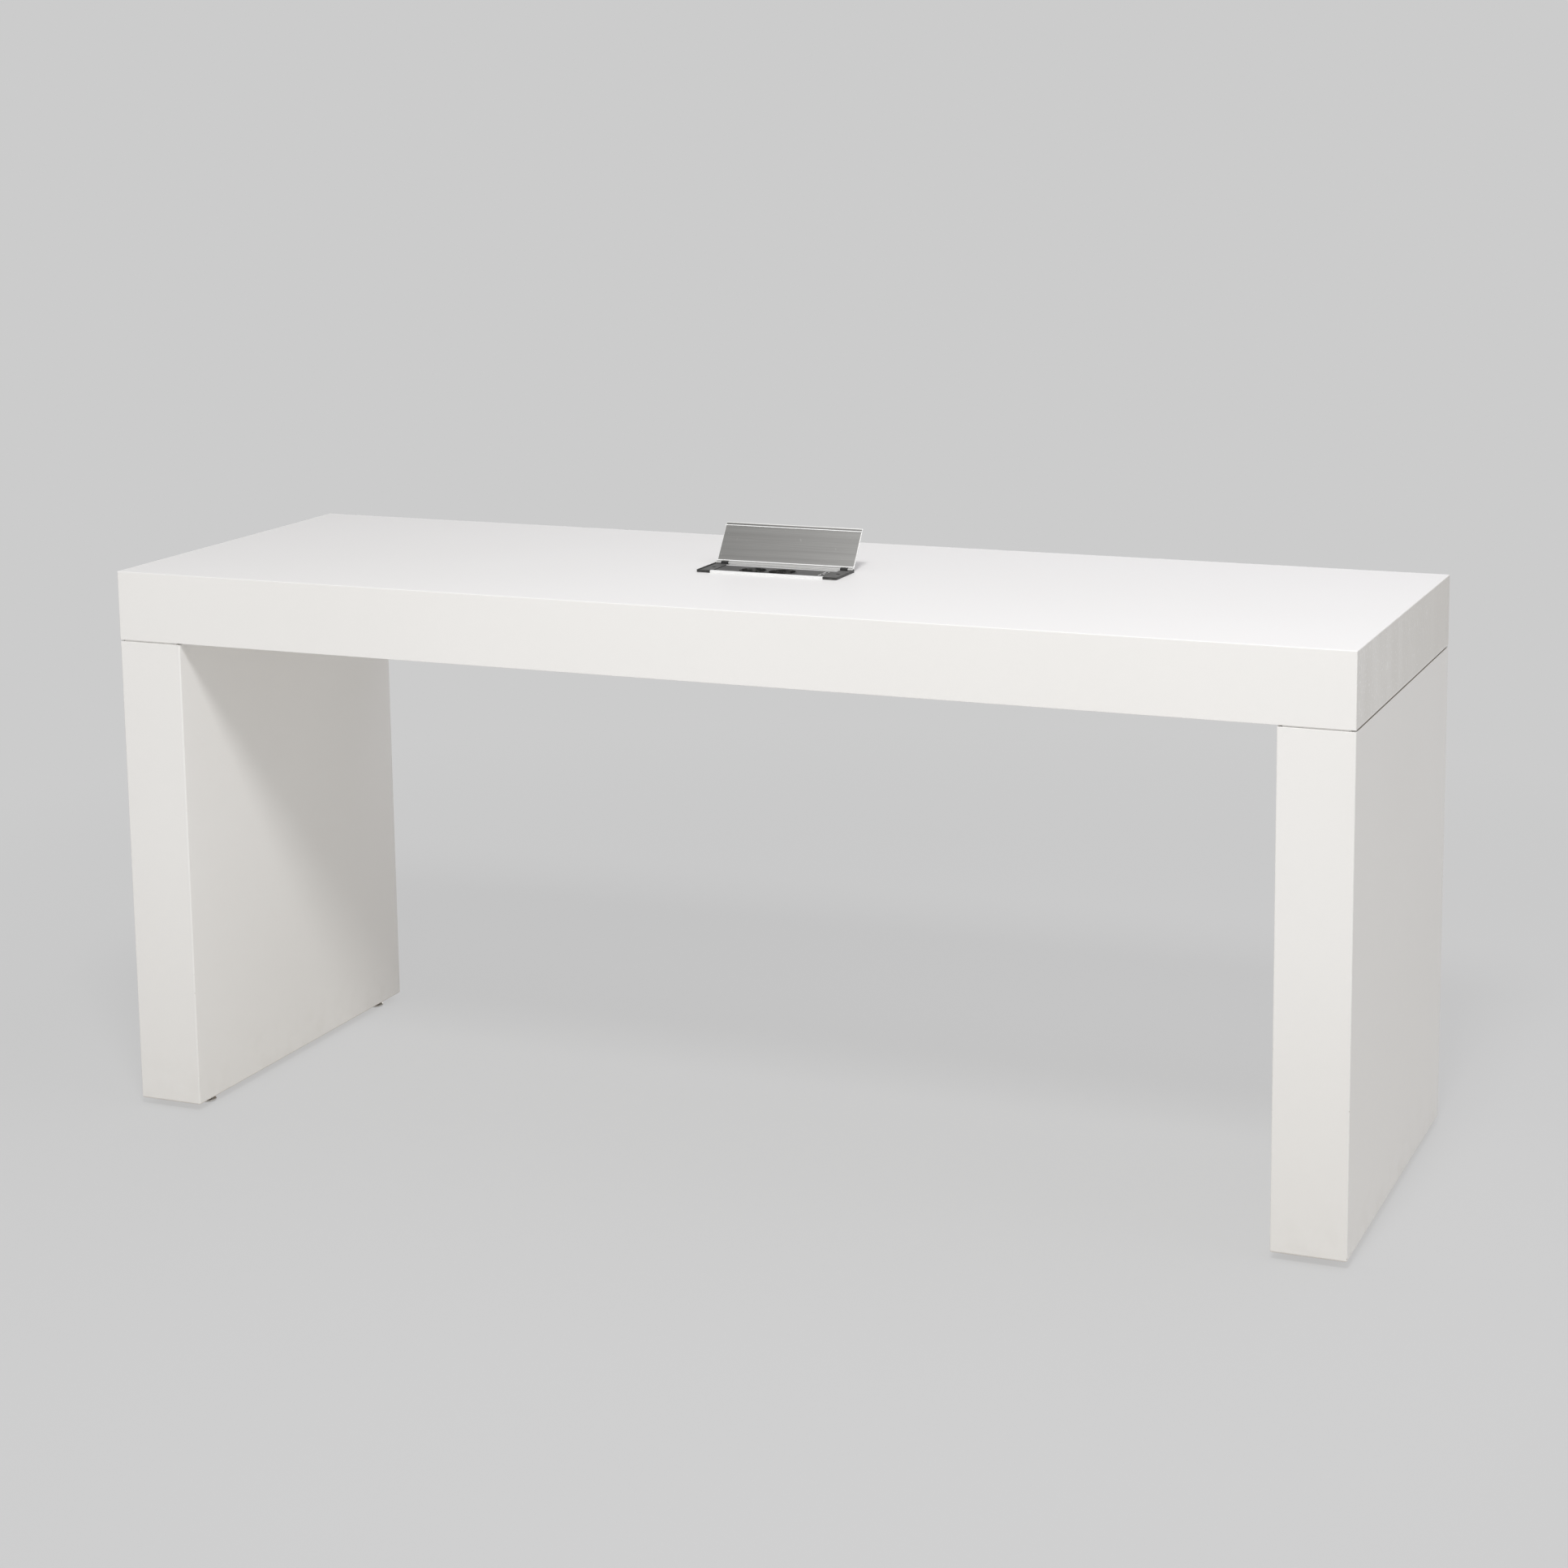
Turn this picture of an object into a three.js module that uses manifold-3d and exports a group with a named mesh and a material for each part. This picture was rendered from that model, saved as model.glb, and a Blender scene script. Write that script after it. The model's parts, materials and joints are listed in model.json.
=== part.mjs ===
// White lacquered bridge table: a thick hollow slab on two hollow block legs that stand on
// levelling feet, with a flip-lid power unit let into the middle of the top.
// Millimetres, +Z up. The origin is on the floor under the middle of the table, +X runs along
// the table to the right and the front edge faces -Y.

import * as THREE from 'three';
import { RoundedBoxGeometry } from 'three/addons/geometries/RoundedBoxGeometry.js';
import { mergeVertices } from 'three/addons/utils/BufferGeometryUtils.js';
import Module from 'manifold-3d';

// Table sizes
const TABLE_LENGTH = 1800;
const TABLE_DEPTH = 580;
const TABLE_HEIGHT = 797;
const SLAB_THICKNESS = 100;
const LEG_THICKNESS = 100;
const FLOOR_CLEARANCE = 10;
const SHADOW_GAP = 2;
const SPACER_SETBACK = 7;
const EDGE_RADIUS = 2;

// Boards that the slab and the legs are glued up from
const SLAB_BOARD = 19;
const UNDERSIDE_BOARD = 16;
const LEG_BOARD = 10;
const GLUE_LINE = 0.3;
const BEARER_WIDTH = 64;
const RIB_THICKNESS = 19;
const RIB_OFFSET = 200;
const LEG_RAIL_HEIGHT = 40;
const SERVICE_LENGTH = 200;
const SERVICE_DEPTH = 80;
const SERVICE_RADIUS = 12;

// Tie bolts that draw each leg up against the slab
const TIE_BOLT_RADIUS = 5;
const TIE_BOLT_HEAD_RADIUS = 8.5;
const TIE_BOLT_HEAD_HEIGHT = 6.4;
const TIE_BOLT_OFFSET = 160;
const TIE_BOLT_GRIP = 40;
const COUNTERBORE_RADIUS = 14;
const COUNTERBORE_DEPTH = 20;
const BOLT_CLEARANCE = 0.5;

// Levelling feet
const FOOT_RADIUS = 13;
const FOOT_RIM = 2.6;
const FOOT_CHAMFER = 0.8;
const FOOT_NECK_RADIUS = 6.5;
const FOOT_CONE_HEIGHT = 3.6;
const FOOT_STEM_RADIUS = 4;
const FOOT_STEM_LENGTH = 25;
const FOOT_INSET_X = 19;
const FOOT_INSET_Y = 48;
const INSERT_WALL = 2.4;
const INSERT_LENGTH = 16;
const INSERT_FLANGE = 1.6;
const INSERT_FLANGE_HEIGHT = 1.5;
const THREAD_CLEARANCE = 0.3;

// Power unit: place, frame and plate
const UNIT_SETBACK = 5.25;
const LIP_RISE = 3.6;
const LIP_DEPTH = 5.3;
const LIP_CHAMFER = 0.7;
const PLATE_RECESS = 2;
const PLATE_THICKNESS = 2.5;
const PLATE_FRONT_MARGIN = 3.7;
const PLATE_REAR_MARGIN = 9.3;
const HINGE_ZONE = 12.2;
const LEFT_BLANK = 33.6;
const RIGHT_BLANK = 34.4;
const TRAY_WALL = 1.8;
const TRAY_DROP = 42;
const LEDGE_WIDTH = 0.7;
const LEDGE_THICKNESS = 1.5;
const REAR_LEDGE = 1.5;
const RAIL_WIDTH = 1.4;
const RAIL_RISE = 2.4;
const FLANGE_RISE = 0.8;
const CUTOUT_CLEARANCE = 1.5;
const CUTOUT_RADIUS = 3;
const FIT = 0.3;
const OVERCUT = 1;

// Power unit: end caps and their screws
const CAP_LENGTH = 21;
const CAP_WALL = 2.5;
const CAP_CORNER = 3;
const CAP_RIM = 1.5;
const CAP_FIELD = 1.2;
const CAP_SCREW_OFFSET = 9.2;
const CAP_SCREW_SETBACK = 0.5;
const SCREW_HEAD_RADIUS = 3;
const SCREW_HEAD_HEIGHT = 1.3;
const SCREW_RADIUS = 1.7;
const SCREW_BITE = 14;
const SCREW_SLOT_WIDTH = 0.9;
const SCREW_SLOT_LENGTH = 3.6;
const SCREW_SLOT_DEPTH = 0.8;

// Power unit: lid and hinge
const LID_LEAN = 35;
const LID_SHEET = 1.8;
const LID_GAP = 0.5;
const LID_RIB_WIDTH = 1.2;
const LID_RIB_HEIGHT = 1;
const LID_RIB_CLEARANCE = 0.5;
const LID_LIP_BAND = 4.7;
const LID_LIP_STEP = 0.5;
const HINGE_INSET = 2.5;
const HINGE_LEAF = 3.8;
const BARREL_RADIUS = 2.3;
const PIN_RADIUS = 1.2;
const PIN_REACH = 5;
const LUG_WIDTH = 11;
const LUG_RADIUS = 2.4;

// Power unit: sockets, charger and inlet
const WELL_RADIUS = 19.5;
const WELL_DEPTH = 17.5;
const WELL_WALL = 1.1;
const WELL_FLOOR = 4;
const WELL_RIM = 0.6;
const WELL_RIM_HEIGHT = 0.6;
const WELL_SPACING = 2;
const PIN_HOLE_RADIUS = 2.6;
const PIN_HOLE_SPACING = 19;
const SOCKET_TURN = 35;
const STRAP_WIDTH = 5;
const STRAP_THICKNESS = 0.8;
const STRAP_SLOT_TOP = 2.5;
const STRAP_SLOT_HEIGHT = 9;
const STRAP_BULGE = 1.6;
const CHARGER_WIDTH = 11;
const CHARGER_DROP = 24;
const CHARGER_SHOULDER = 1.2;
const CHARGER_END_GAP = 6.8;
const CHARGER_MARGIN = 2.2;
const CHARGER_SETBACK = 6;
const PORT_WIDTH = 5.2;
const PORT_LENGTH = 12.6;
const PORT_DROP = 10;
const PORT_SPACING = 18;
const PORT_SHELL = 0.7;
const PORT_SHELL_RISE = 0.2;
const TONGUE_WIDTH = 1.8;
const TONGUE_LENGTH = 11;
const TONGUE_HEIGHT = 8.6;
const INLET_LENGTH = 30;
const INLET_DEPTH = 22;
const INLET_HEIGHT = 20;
const INLET_WALL = 2;
const INLET_OFFSET = 50;
const INLET_PIN_RADIUS = 1.4;
const INLET_PIN_LENGTH = 9;
const INLET_PIN_SPACING = 8;
const WIRE_HOLE_RADIUS = 6;

// Facets
const ROUND_SIDES = 16;
const SMALL_SIDES = 12;
const WELL_SIDES = 36;
const FOOT_SIDES = 24;
const EDGE_SEGMENTS = 2;
const CORNER_SEGMENTS = 4;
const MERGE_TOLERANCE = 1e-4;

// Heights and places that follow from the sizes above
const slabBottom = TABLE_HEIGHT - SLAB_THICKNESS;
const slabMiddle = TABLE_HEIGHT - SLAB_THICKNESS / 2;
const legTop = slabBottom - SHADOW_GAP;
const legHeight = legTop - FLOOR_CLEARANCE;
const legCentre = TABLE_LENGTH / 2 - LEG_THICKNESS / 2;
const slabCavity = SLAB_THICKNESS - SLAB_BOARD - UNDERSIDE_BOARD;

const unitDepth = LIP_DEPTH + PLATE_FRONT_MARGIN + 2 * WELL_RADIUS + PLATE_REAR_MARGIN + HINGE_ZONE;
const unitFront = -unitDepth / 2;
const unitRear = unitDepth / 2;
const plateTop = LIP_RISE - PLATE_RECESS;
const plateBottom = plateTop - PLATE_THICKNESS;
const pocketFront = unitFront + LIP_DEPTH;
const pocketRear = unitRear - HINGE_ZONE;
const wellY = pocketFront + PLATE_FRONT_MARGIN + WELL_RADIUS;
const wellBodyRadius = WELL_RADIUS + WELL_WALL;
const wellRimRadius = wellBodyRadius + WELL_RIM;
const wellPitch = 2 * wellRimRadius + WELL_SPACING;
const trayInner = wellBodyRadius - wellY + FIT + LEDGE_WIDTH;
const trayOuter = trayInner + TRAY_WALL;

const socketsLength = 4 * wellRimRadius + WELL_SPACING;
const pocketLength = LEFT_BLANK + socketsLength + RIGHT_BLANK + CHARGER_WIDTH + CHARGER_END_GAP;
const pocketEnd = pocketLength / 2;
const unitEnd = pocketEnd + CAP_LENGTH;
const leftWellX = -pocketEnd + LEFT_BLANK + wellRimRadius;
const wellPlaces = { left: leftWellX, right: leftWellX + wellPitch };
const chargerDepth = PORT_SPACING + PORT_LENGTH + 2 * CHARGER_MARGIN;
const chargerX = pocketEnd - CHARGER_END_GAP - CHARGER_WIDTH / 2;
const chargerY = wellY + CHARGER_SETBACK;
const cutoutEnd = pocketEnd + CAP_WALL + CUTOUT_CLEARANCE;
const cutoutSide = trayOuter + CUTOUT_CLEARANCE;

const pivotY = unitRear - HINGE_INSET;
const pivotZ = FLANGE_RISE + FIT + BARREL_RADIUS;
const lidStandoff = LIP_RISE + LID_GAP - pivotZ;
const lidFrontRib = pivotY - pocketFront - LID_RIB_WIDTH - LID_RIB_CLEARANCE;
const lidReach = lidFrontRib + LID_RIB_WIDTH + LID_LIP_BAND;
const lidEnd = unitEnd - CAP_RIM - FIT;
const lugInner = pocketEnd + FIT;
const lugOuter = lugInner + LUG_WIDTH;
const troughFront = pivotY - BARREL_RADIUS - LID_GAP;

// Finishes
const lacquer = { color: 0xf1f0ed, roughness: 0.42, metalness: 0 };
const fibreboard = { color: 0xb39a76, roughness: 0.85, metalness: 0 };
const spacerBlack = { color: 0x26241f, roughness: 0.9, metalness: 0 };
const zincSteel = { color: 0xb4b6b8, roughness: 0.35, metalness: 1 };
const footNickel = { color: 0x9a9894, roughness: 0.32, metalness: 1 };
const brushedAluminium = { color: 0xa9a7a3, roughness: 0.36, metalness: 1 };
const brightAluminium = { color: 0xd8d8d6, roughness: 0.28, metalness: 1 };
const greyPlastic = { color: 0x4a4a49, roughness: 0.55, metalness: 0 };
const blackPlastic = { color: 0x1b1b1c, roughness: 0.45, metalness: 0 };
const contactBrass = { color: 0xb59a5b, roughness: 0.35, metalness: 1 };

// Solids
const wasm = await Module();
wasm.setup();

function solid(geometry) {
  const bare = geometry.clone();
  bare.deleteAttribute('normal');
  bare.deleteAttribute('uv');
  const merged = mergeVertices(bare, MERGE_TOLERANCE);
  const vertProperties = Float32Array.from(merged.attributes.position.array);
  const triVerts = Uint32Array.from(merged.index.array);
  return new wasm.Manifold(new wasm.Mesh({ numProp: 3, vertProperties, triVerts }));
}

function mesh(name, finish, body) {
  const { vertProperties, triVerts } = body.getMesh();
  const geometry = new THREE.BufferGeometry();
  geometry.setAttribute('position', new THREE.BufferAttribute(vertProperties, 3));
  geometry.setIndex(new THREE.BufferAttribute(triVerts, 1));
  geometry.computeVertexNormals();
  const made = new THREE.Mesh(geometry, new THREE.MeshStandardMaterial({ ...finish, flatShading: true }));
  made.name = name;
  return made;
}

// A square block between two opposite corners
function block(low, high) {
  const [width, depth, height] = high.map((value, axis) => value - low[axis]);
  const box = new THREE.BoxGeometry(width, depth, height);
  box.translate((low[0] + high[0]) / 2, (low[1] + high[1]) / 2, (low[2] + high[2]) / 2);
  return solid(box);
}

// A round post or drill along Z
function post(radius, bottom, top, x = 0, y = 0, sides = ROUND_SIDES) {
  const cylinder = new THREE.CylinderGeometry(radius, radius, top - bottom, sides);
  cylinder.rotateX(Math.PI / 2);
  cylinder.translate(x, y, (bottom + top) / 2);
  return solid(cylinder);
}

// A turned piece from [radius, height] points
function turned(points, sides) {
  const profile = points.map(([radius, height]) => new THREE.Vector2(radius, height));
  const lathe = new THREE.LatheGeometry(profile, sides);
  lathe.rotateX(Math.PI / 2);
  return solid(lathe);
}

function outline(points) {
  return new THREE.Shape(points.map(([across, up]) => new THREE.Vector2(across, up)));
}

// A profile drawn in Y and Z, drawn out along X between two ends
function profileAlongX(shape, from, to) {
  const geometry = new THREE.ExtrudeGeometry(shape, {
    depth: to - from,
    bevelEnabled: false,
    curveSegments: SMALL_SIDES,
  });
  geometry.translate(0, 0, from);
  const axes = new THREE.Matrix4();
  axes.makeBasis(new THREE.Vector3(0, 1, 0), new THREE.Vector3(0, 0, 1), new THREE.Vector3(1, 0, 0));
  geometry.applyMatrix4(axes);
  return solid(geometry);
}

// An upright block whose four upright corners are rounded
function roundedPrism(left, right, front, rear, bottom, top, radius) {
  const shape = new THREE.Shape();
  shape.moveTo(left + radius, front);
  shape.lineTo(right - radius, front);
  shape.absarc(right - radius, front + radius, radius, -Math.PI / 2, 0);
  shape.lineTo(right, rear - radius);
  shape.absarc(right - radius, rear - radius, radius, 0, Math.PI / 2);
  shape.lineTo(left + radius, rear);
  shape.absarc(left + radius, rear - radius, radius, Math.PI / 2, Math.PI);
  shape.lineTo(left, front + radius);
  shape.absarc(left + radius, front + radius, radius, Math.PI, 1.5 * Math.PI);
  const geometry = new THREE.ExtrudeGeometry(shape, {
    depth: top - bottom,
    bevelEnabled: false,
    curveSegments: CORNER_SEGMENTS,
  });
  geometry.translate(0, 0, bottom);
  return solid(geometry);
}

// A board whose inner face is drawn in along its mitred edges. size and centre are [x, y, z].
// inner is the axis and side of the face that is drawn in, and drawIn gives for each axis how
// far that face's low and high edges move.
function mitredBoard(size, centre, inner, drawIn) {
  const box = new THREE.BoxGeometry(...size);
  const points = box.attributes.position;
  for (let i = 0; i < points.count; i += 1) {
    const point = new THREE.Vector3().fromBufferAttribute(points, i);
    if (Math.sign(point[inner.axis]) === inner.side) {
      for (const [axis, [low, high]] of Object.entries(drawIn)) {
        point[axis] += point[axis] < 0 ? low : -high;
      }
      points.setXYZ(i, point.x, point.y, point.z);
    }
  }
  box.translate(...centre);
  return solid(box);
}

// Slab: top board and four aprons mitred together, closed from below by an underside board

function slab() {
  const group = new THREE.Group();
  group.position.z = slabMiddle;
  const envelope = solid(
    new RoundedBoxGeometry(TABLE_LENGTH, TABLE_DEPTH, SLAB_THICKNESS, EDGE_SEGMENTS, EDGE_RADIUS),
  );
  const half = SLAB_THICKNESS / 2;
  const mitre = SLAB_BOARD + GLUE_LINE;
  const both = [mitre, mitre];

  const cutout = roundedPrism(
    -cutoutEnd, cutoutEnd, UNIT_SETBACK - cutoutSide, UNIT_SETBACK + cutoutSide,
    -half, half + EDGE_RADIUS, CUTOUT_RADIUS,
  );
  let top = mitredBoard(
    [TABLE_LENGTH, TABLE_DEPTH, SLAB_BOARD], [0, 0, half - SLAB_BOARD / 2],
    { axis: 'z', side: -1 }, { x: both, y: both },
  ).intersect(envelope).subtract(cutout);
  for (const side of [-1, 1]) {
    const x = side * (pocketEnd + CAP_SCREW_OFFSET);
    const y = UNIT_SETBACK + CAP_SCREW_SETBACK;
    const bottom = half - SCREW_BITE - FIT;
    const pilot = post(SCREW_RADIUS + FIT, bottom, half + OVERCUT, x, y, SMALL_SIDES);
    top = top.subtract(pilot);
  }
  group.add(mesh('tabletop_panel', lacquer, top));

  for (const [name, side] of [['front_apron', -1], ['rear_apron', 1]]) {
    const apron = mitredBoard(
      [TABLE_LENGTH, SLAB_BOARD, SLAB_THICKNESS], [0, side * (TABLE_DEPTH - SLAB_BOARD) / 2, 0],
      { axis: 'y', side: -side }, { x: both, z: [0, mitre] },
    );
    group.add(mesh(name, lacquer, apron.intersect(envelope)));
  }
  for (const [name, side] of [['left_end_apron', -1], ['right_end_apron', 1]]) {
    const apron = mitredBoard(
      [SLAB_BOARD, TABLE_DEPTH, SLAB_THICKNESS], [side * (TABLE_LENGTH - SLAB_BOARD) / 2, 0, 0],
      { axis: 'x', side: -side }, { y: both, z: [0, mitre] },
    );
    group.add(mesh(name, lacquer, apron.intersect(envelope)));
  }

  const insideX = TABLE_LENGTH / 2 - SLAB_BOARD - GLUE_LINE;
  const insideY = TABLE_DEPTH / 2 - SLAB_BOARD - GLUE_LINE;
  const service = roundedPrism(
    -SERVICE_LENGTH / 2, SERVICE_LENGTH / 2,
    UNIT_SETBACK - SERVICE_DEPTH / 2, UNIT_SETBACK + SERVICE_DEPTH / 2,
    -SLAB_THICKNESS, 0, SERVICE_RADIUS,
  );
  const floor = -half + UNDERSIDE_BOARD;
  let underside = block([-insideX, -insideY, -half], [insideX, insideY, floor]).subtract(service);
  for (const [x, y] of tieBoltPlaces()) {
    underside = underside.subtract(post(TIE_BOLT_RADIUS + BOLT_CLEARANCE, -SLAB_THICKNESS, 0, x, y));
  }
  group.add(mesh('underside_panel', lacquer, underside));

  const shelf = floor + GLUE_LINE;
  const ceiling = floor + slabCavity - GLUE_LINE;
  for (const [name, side] of [['left_bearer', -1], ['right_bearer', 1]]) {
    const bearerEnds = [side * insideX, side * (insideX - BEARER_WIDTH)];
    let bearer = block(
      [Math.min(...bearerEnds), -insideY, shelf],
      [Math.max(...bearerEnds), insideY, ceiling],
    );
    for (const [x, y] of tieBoltPlaces()) {
      const drillTop = shelf + TIE_BOLT_GRIP + FIT;
      bearer = bearer.subtract(post(TIE_BOLT_RADIUS + THREAD_CLEARANCE, -half, drillTop, x, y));
    }
    group.add(mesh(name, fibreboard, bearer));
  }
  for (const [name, side] of [['left_rib', -1], ['right_rib', 1]]) {
    const rib = block(
      [side * RIB_OFFSET - RIB_THICKNESS / 2, -insideY, shelf],
      [side * RIB_OFFSET + RIB_THICKNESS / 2, insideY, ceiling],
    );
    group.add(mesh(name, fibreboard, rib));
  }
  return group;
}

// Where the tie bolts stand, two to a leg
function tieBoltPlaces() {
  const places = [];
  for (const side of [-1, 1]) {
    for (const end of [-1, 1]) {
      places.push([side * legCentre, end * TIE_BOLT_OFFSET]);
    }
  }
  return places;
}

// Legs: hollow boxes of four mitred boards round a top rail and a bottom rail, drawn up to the
// slab by tie bolts over a thin spacer that is set back to leave a shadow gap

function leg(hand, side) {
  const group = new THREE.Group();
  group.position.x = side * legCentre;
  const middle = FLOOR_CLEARANCE + legHeight / 2;
  const rounded = new RoundedBoxGeometry(LEG_THICKNESS, TABLE_DEPTH, legHeight, EDGE_SEGMENTS, EDGE_RADIUS);
  rounded.translate(0, 0, middle);
  const envelope = solid(rounded);
  const mitre = LEG_BOARD + GLUE_LINE;
  const both = [mitre, mitre];

  for (const [name, face] of [['outer_panel', side], ['inner_panel', -side]]) {
    const panel = mitredBoard(
      [LEG_BOARD, TABLE_DEPTH, legHeight], [face * (LEG_THICKNESS - LEG_BOARD) / 2, 0, middle],
      { axis: 'x', side: -face }, { y: both },
    );
    group.add(mesh(`${hand}_leg_${name}`, lacquer, panel.intersect(envelope)));
  }
  for (const [name, face] of [['front_board', -1], ['rear_board', 1]]) {
    const board = mitredBoard(
      [LEG_THICKNESS, LEG_BOARD, legHeight], [0, face * (TABLE_DEPTH - LEG_BOARD) / 2, middle],
      { axis: 'y', side: -face }, { x: both },
    );
    group.add(mesh(`${hand}_leg_${name}`, lacquer, board.intersect(envelope)));
  }

  const insideX = LEG_THICKNESS / 2 - mitre;
  const insideY = TABLE_DEPTH / 2 - mitre;
  const boltHole = TIE_BOLT_RADIUS + BOLT_CLEARANCE;
  const railTop = FLOOR_CLEARANCE + LEG_RAIL_HEIGHT;
  let topRail = block([-insideX, -insideY, legTop - LEG_RAIL_HEIGHT], [insideX, insideY, legTop]);
  let bottomRail = block([-insideX, -insideY, FLOOR_CLEARANCE], [insideX, insideY, railTop]);
  const spacerX = LEG_THICKNESS / 2 - SPACER_SETBACK;
  const spacerY = TABLE_DEPTH / 2 - SPACER_SETBACK;
  let spacer = block([-spacerX, -spacerY, legTop], [spacerX, spacerY, slabBottom]);
  for (const end of [-1, 1]) {
    const y = end * TIE_BOLT_OFFSET;
    const drill = post(boltHole, 0, TABLE_HEIGHT, 0, y);
    topRail = topRail.subtract(drill);
    spacer = spacer.subtract(drill);
    bottomRail = bottomRail.subtract(drill);
    bottomRail = bottomRail.subtract(post(COUNTERBORE_RADIUS, 0, FLOOR_CLEARANCE + COUNTERBORE_DEPTH, 0, y));
    group.add(tieBolt(`${hand}_${end < 0 ? 'front' : 'rear'}_tie_bolt`, y));
  }
  for (const { x, y } of footPlaces()) {
    bottomRail = bottomRail.subtract(footDrill(x, y));
  }
  group.add(mesh(`${hand}_leg_top_rail`, fibreboard, topRail));
  group.add(mesh(`${hand}_leg_bottom_rail`, fibreboard, bottomRail));
  group.add(mesh(`${hand}_shadow_spacer`, spacerBlack, spacer));

  for (const { x, y, end, face } of footPlaces()) {
    const place = face === side ? 'outer' : 'inner';
    group.add(foot(`${hand}_${end}_${place}_foot`, x, y));
    group.add(footInsert(`${hand}_${end}_${place}_foot_insert`, x, y));
  }
  return group;
}

// A long hexagon-head bolt from its counterbore under the leg up into the bearer
function tieBolt(name, y) {
  const seat = FLOOR_CLEARANCE + COUNTERBORE_DEPTH - FIT;
  const tip = slabBottom + UNDERSIDE_BOARD + GLUE_LINE + TIE_BOLT_GRIP;
  const shank = post(TIE_BOLT_RADIUS, seat - TIE_BOLT_HEAD_HEIGHT / 2, tip, 0, y, SMALL_SIDES);
  const head = post(TIE_BOLT_HEAD_RADIUS, seat - TIE_BOLT_HEAD_HEIGHT, seat, 0, y, 6);
  return mesh(name, zincSteel, shank.add(head));
}

// Levelling feet, four to a leg: a turned foot on a stem that screws in a flanged insert

function footPlaces() {
  const places = [];
  for (const face of [-1, 1]) {
    for (const [end, way] of [['front', -1], ['rear', 1]]) {
      const x = face * (LEG_THICKNESS / 2 - FOOT_INSET_X);
      const y = way * (TABLE_DEPTH / 2 - FOOT_INSET_Y);
      places.push({ x, y, end, face });
    }
  }
  return places;
}

const insertBore = FOOT_STEM_RADIUS + THREAD_CLEARANCE;
const insertRadius = insertBore + INSERT_WALL;
const insertFlangeRadius = insertRadius + INSERT_FLANGE;

function footDrill(x, y) {
  const flange = post(insertFlangeRadius + FIT, 0, FLOOR_CLEARANCE + INSERT_FLANGE_HEIGHT + FIT, x, y);
  const body = post(insertRadius + FIT, 0, FLOOR_CLEARANCE + INSERT_LENGTH + FIT, x, y);
  const stem = post(insertBore + FIT, 0, FLOOR_CLEARANCE + FOOT_STEM_LENGTH + FIT, x, y);
  return flange.add(body).add(stem);
}

function footInsert(name, x, y) {
  const insert = turned([
    [insertBore, FLOOR_CLEARANCE],
    [insertFlangeRadius, FLOOR_CLEARANCE],
    [insertFlangeRadius, FLOOR_CLEARANCE + INSERT_FLANGE_HEIGHT],
    [insertRadius, FLOOR_CLEARANCE + INSERT_FLANGE_HEIGHT],
    [insertRadius, FLOOR_CLEARANCE + INSERT_LENGTH],
    [insertBore, FLOOR_CLEARANCE + INSERT_LENGTH],
    [insertBore, FLOOR_CLEARANCE],
  ], ROUND_SIDES);
  const made = mesh(name, zincSteel, insert);
  made.position.set(x, y, 0);
  return made;
}

function foot(name, x, y) {
  const stop = FLOOR_CLEARANCE - FIT;
  const tip = FLOOR_CLEARANCE + FOOT_STEM_LENGTH - FIT;
  const body = turned([
    [0, 0],
    [FOOT_RADIUS - FOOT_CHAMFER, 0],
    [FOOT_RADIUS, FOOT_CHAMFER],
    [FOOT_RADIUS, FOOT_RIM],
    [FOOT_NECK_RADIUS, FOOT_RIM + FOOT_CONE_HEIGHT],
    [FOOT_NECK_RADIUS, stop],
    [FOOT_STEM_RADIUS, stop],
    [FOOT_STEM_RADIUS, tip - FOOT_CHAMFER],
    [FOOT_STEM_RADIUS - FOOT_CHAMFER, tip],
    [0, tip],
  ], FOOT_SIDES);
  const made = mesh(name, footNickel, body);
  made.position.set(x, y, 0);
  return made;
}

// Power unit: an aluminium tray between two plastic end caps, let into the slab

function powerUnit() {
  const group = new THREE.Group();
  group.position.set(0, UNIT_SETBACK, TABLE_HEIGHT);
  group.add(tray(), facePlate(), charger(), inlet());
  for (const [hand, side] of [['left', -1], ['right', 1]]) {
    group.add(endCap(hand, side), capScrew(hand, side), hingePin(hand, side));
    group.add(socketWell(hand), earthStrap(hand));
  }
  const hinge = new THREE.Group();
  hinge.position.set(0, pivotY, pivotZ);
  hinge.rotation.x = -THREE.MathUtils.degToRad(LID_LEAN);
  hinge.add(lid());
  group.add(hinge);
  return group;
}

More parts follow.
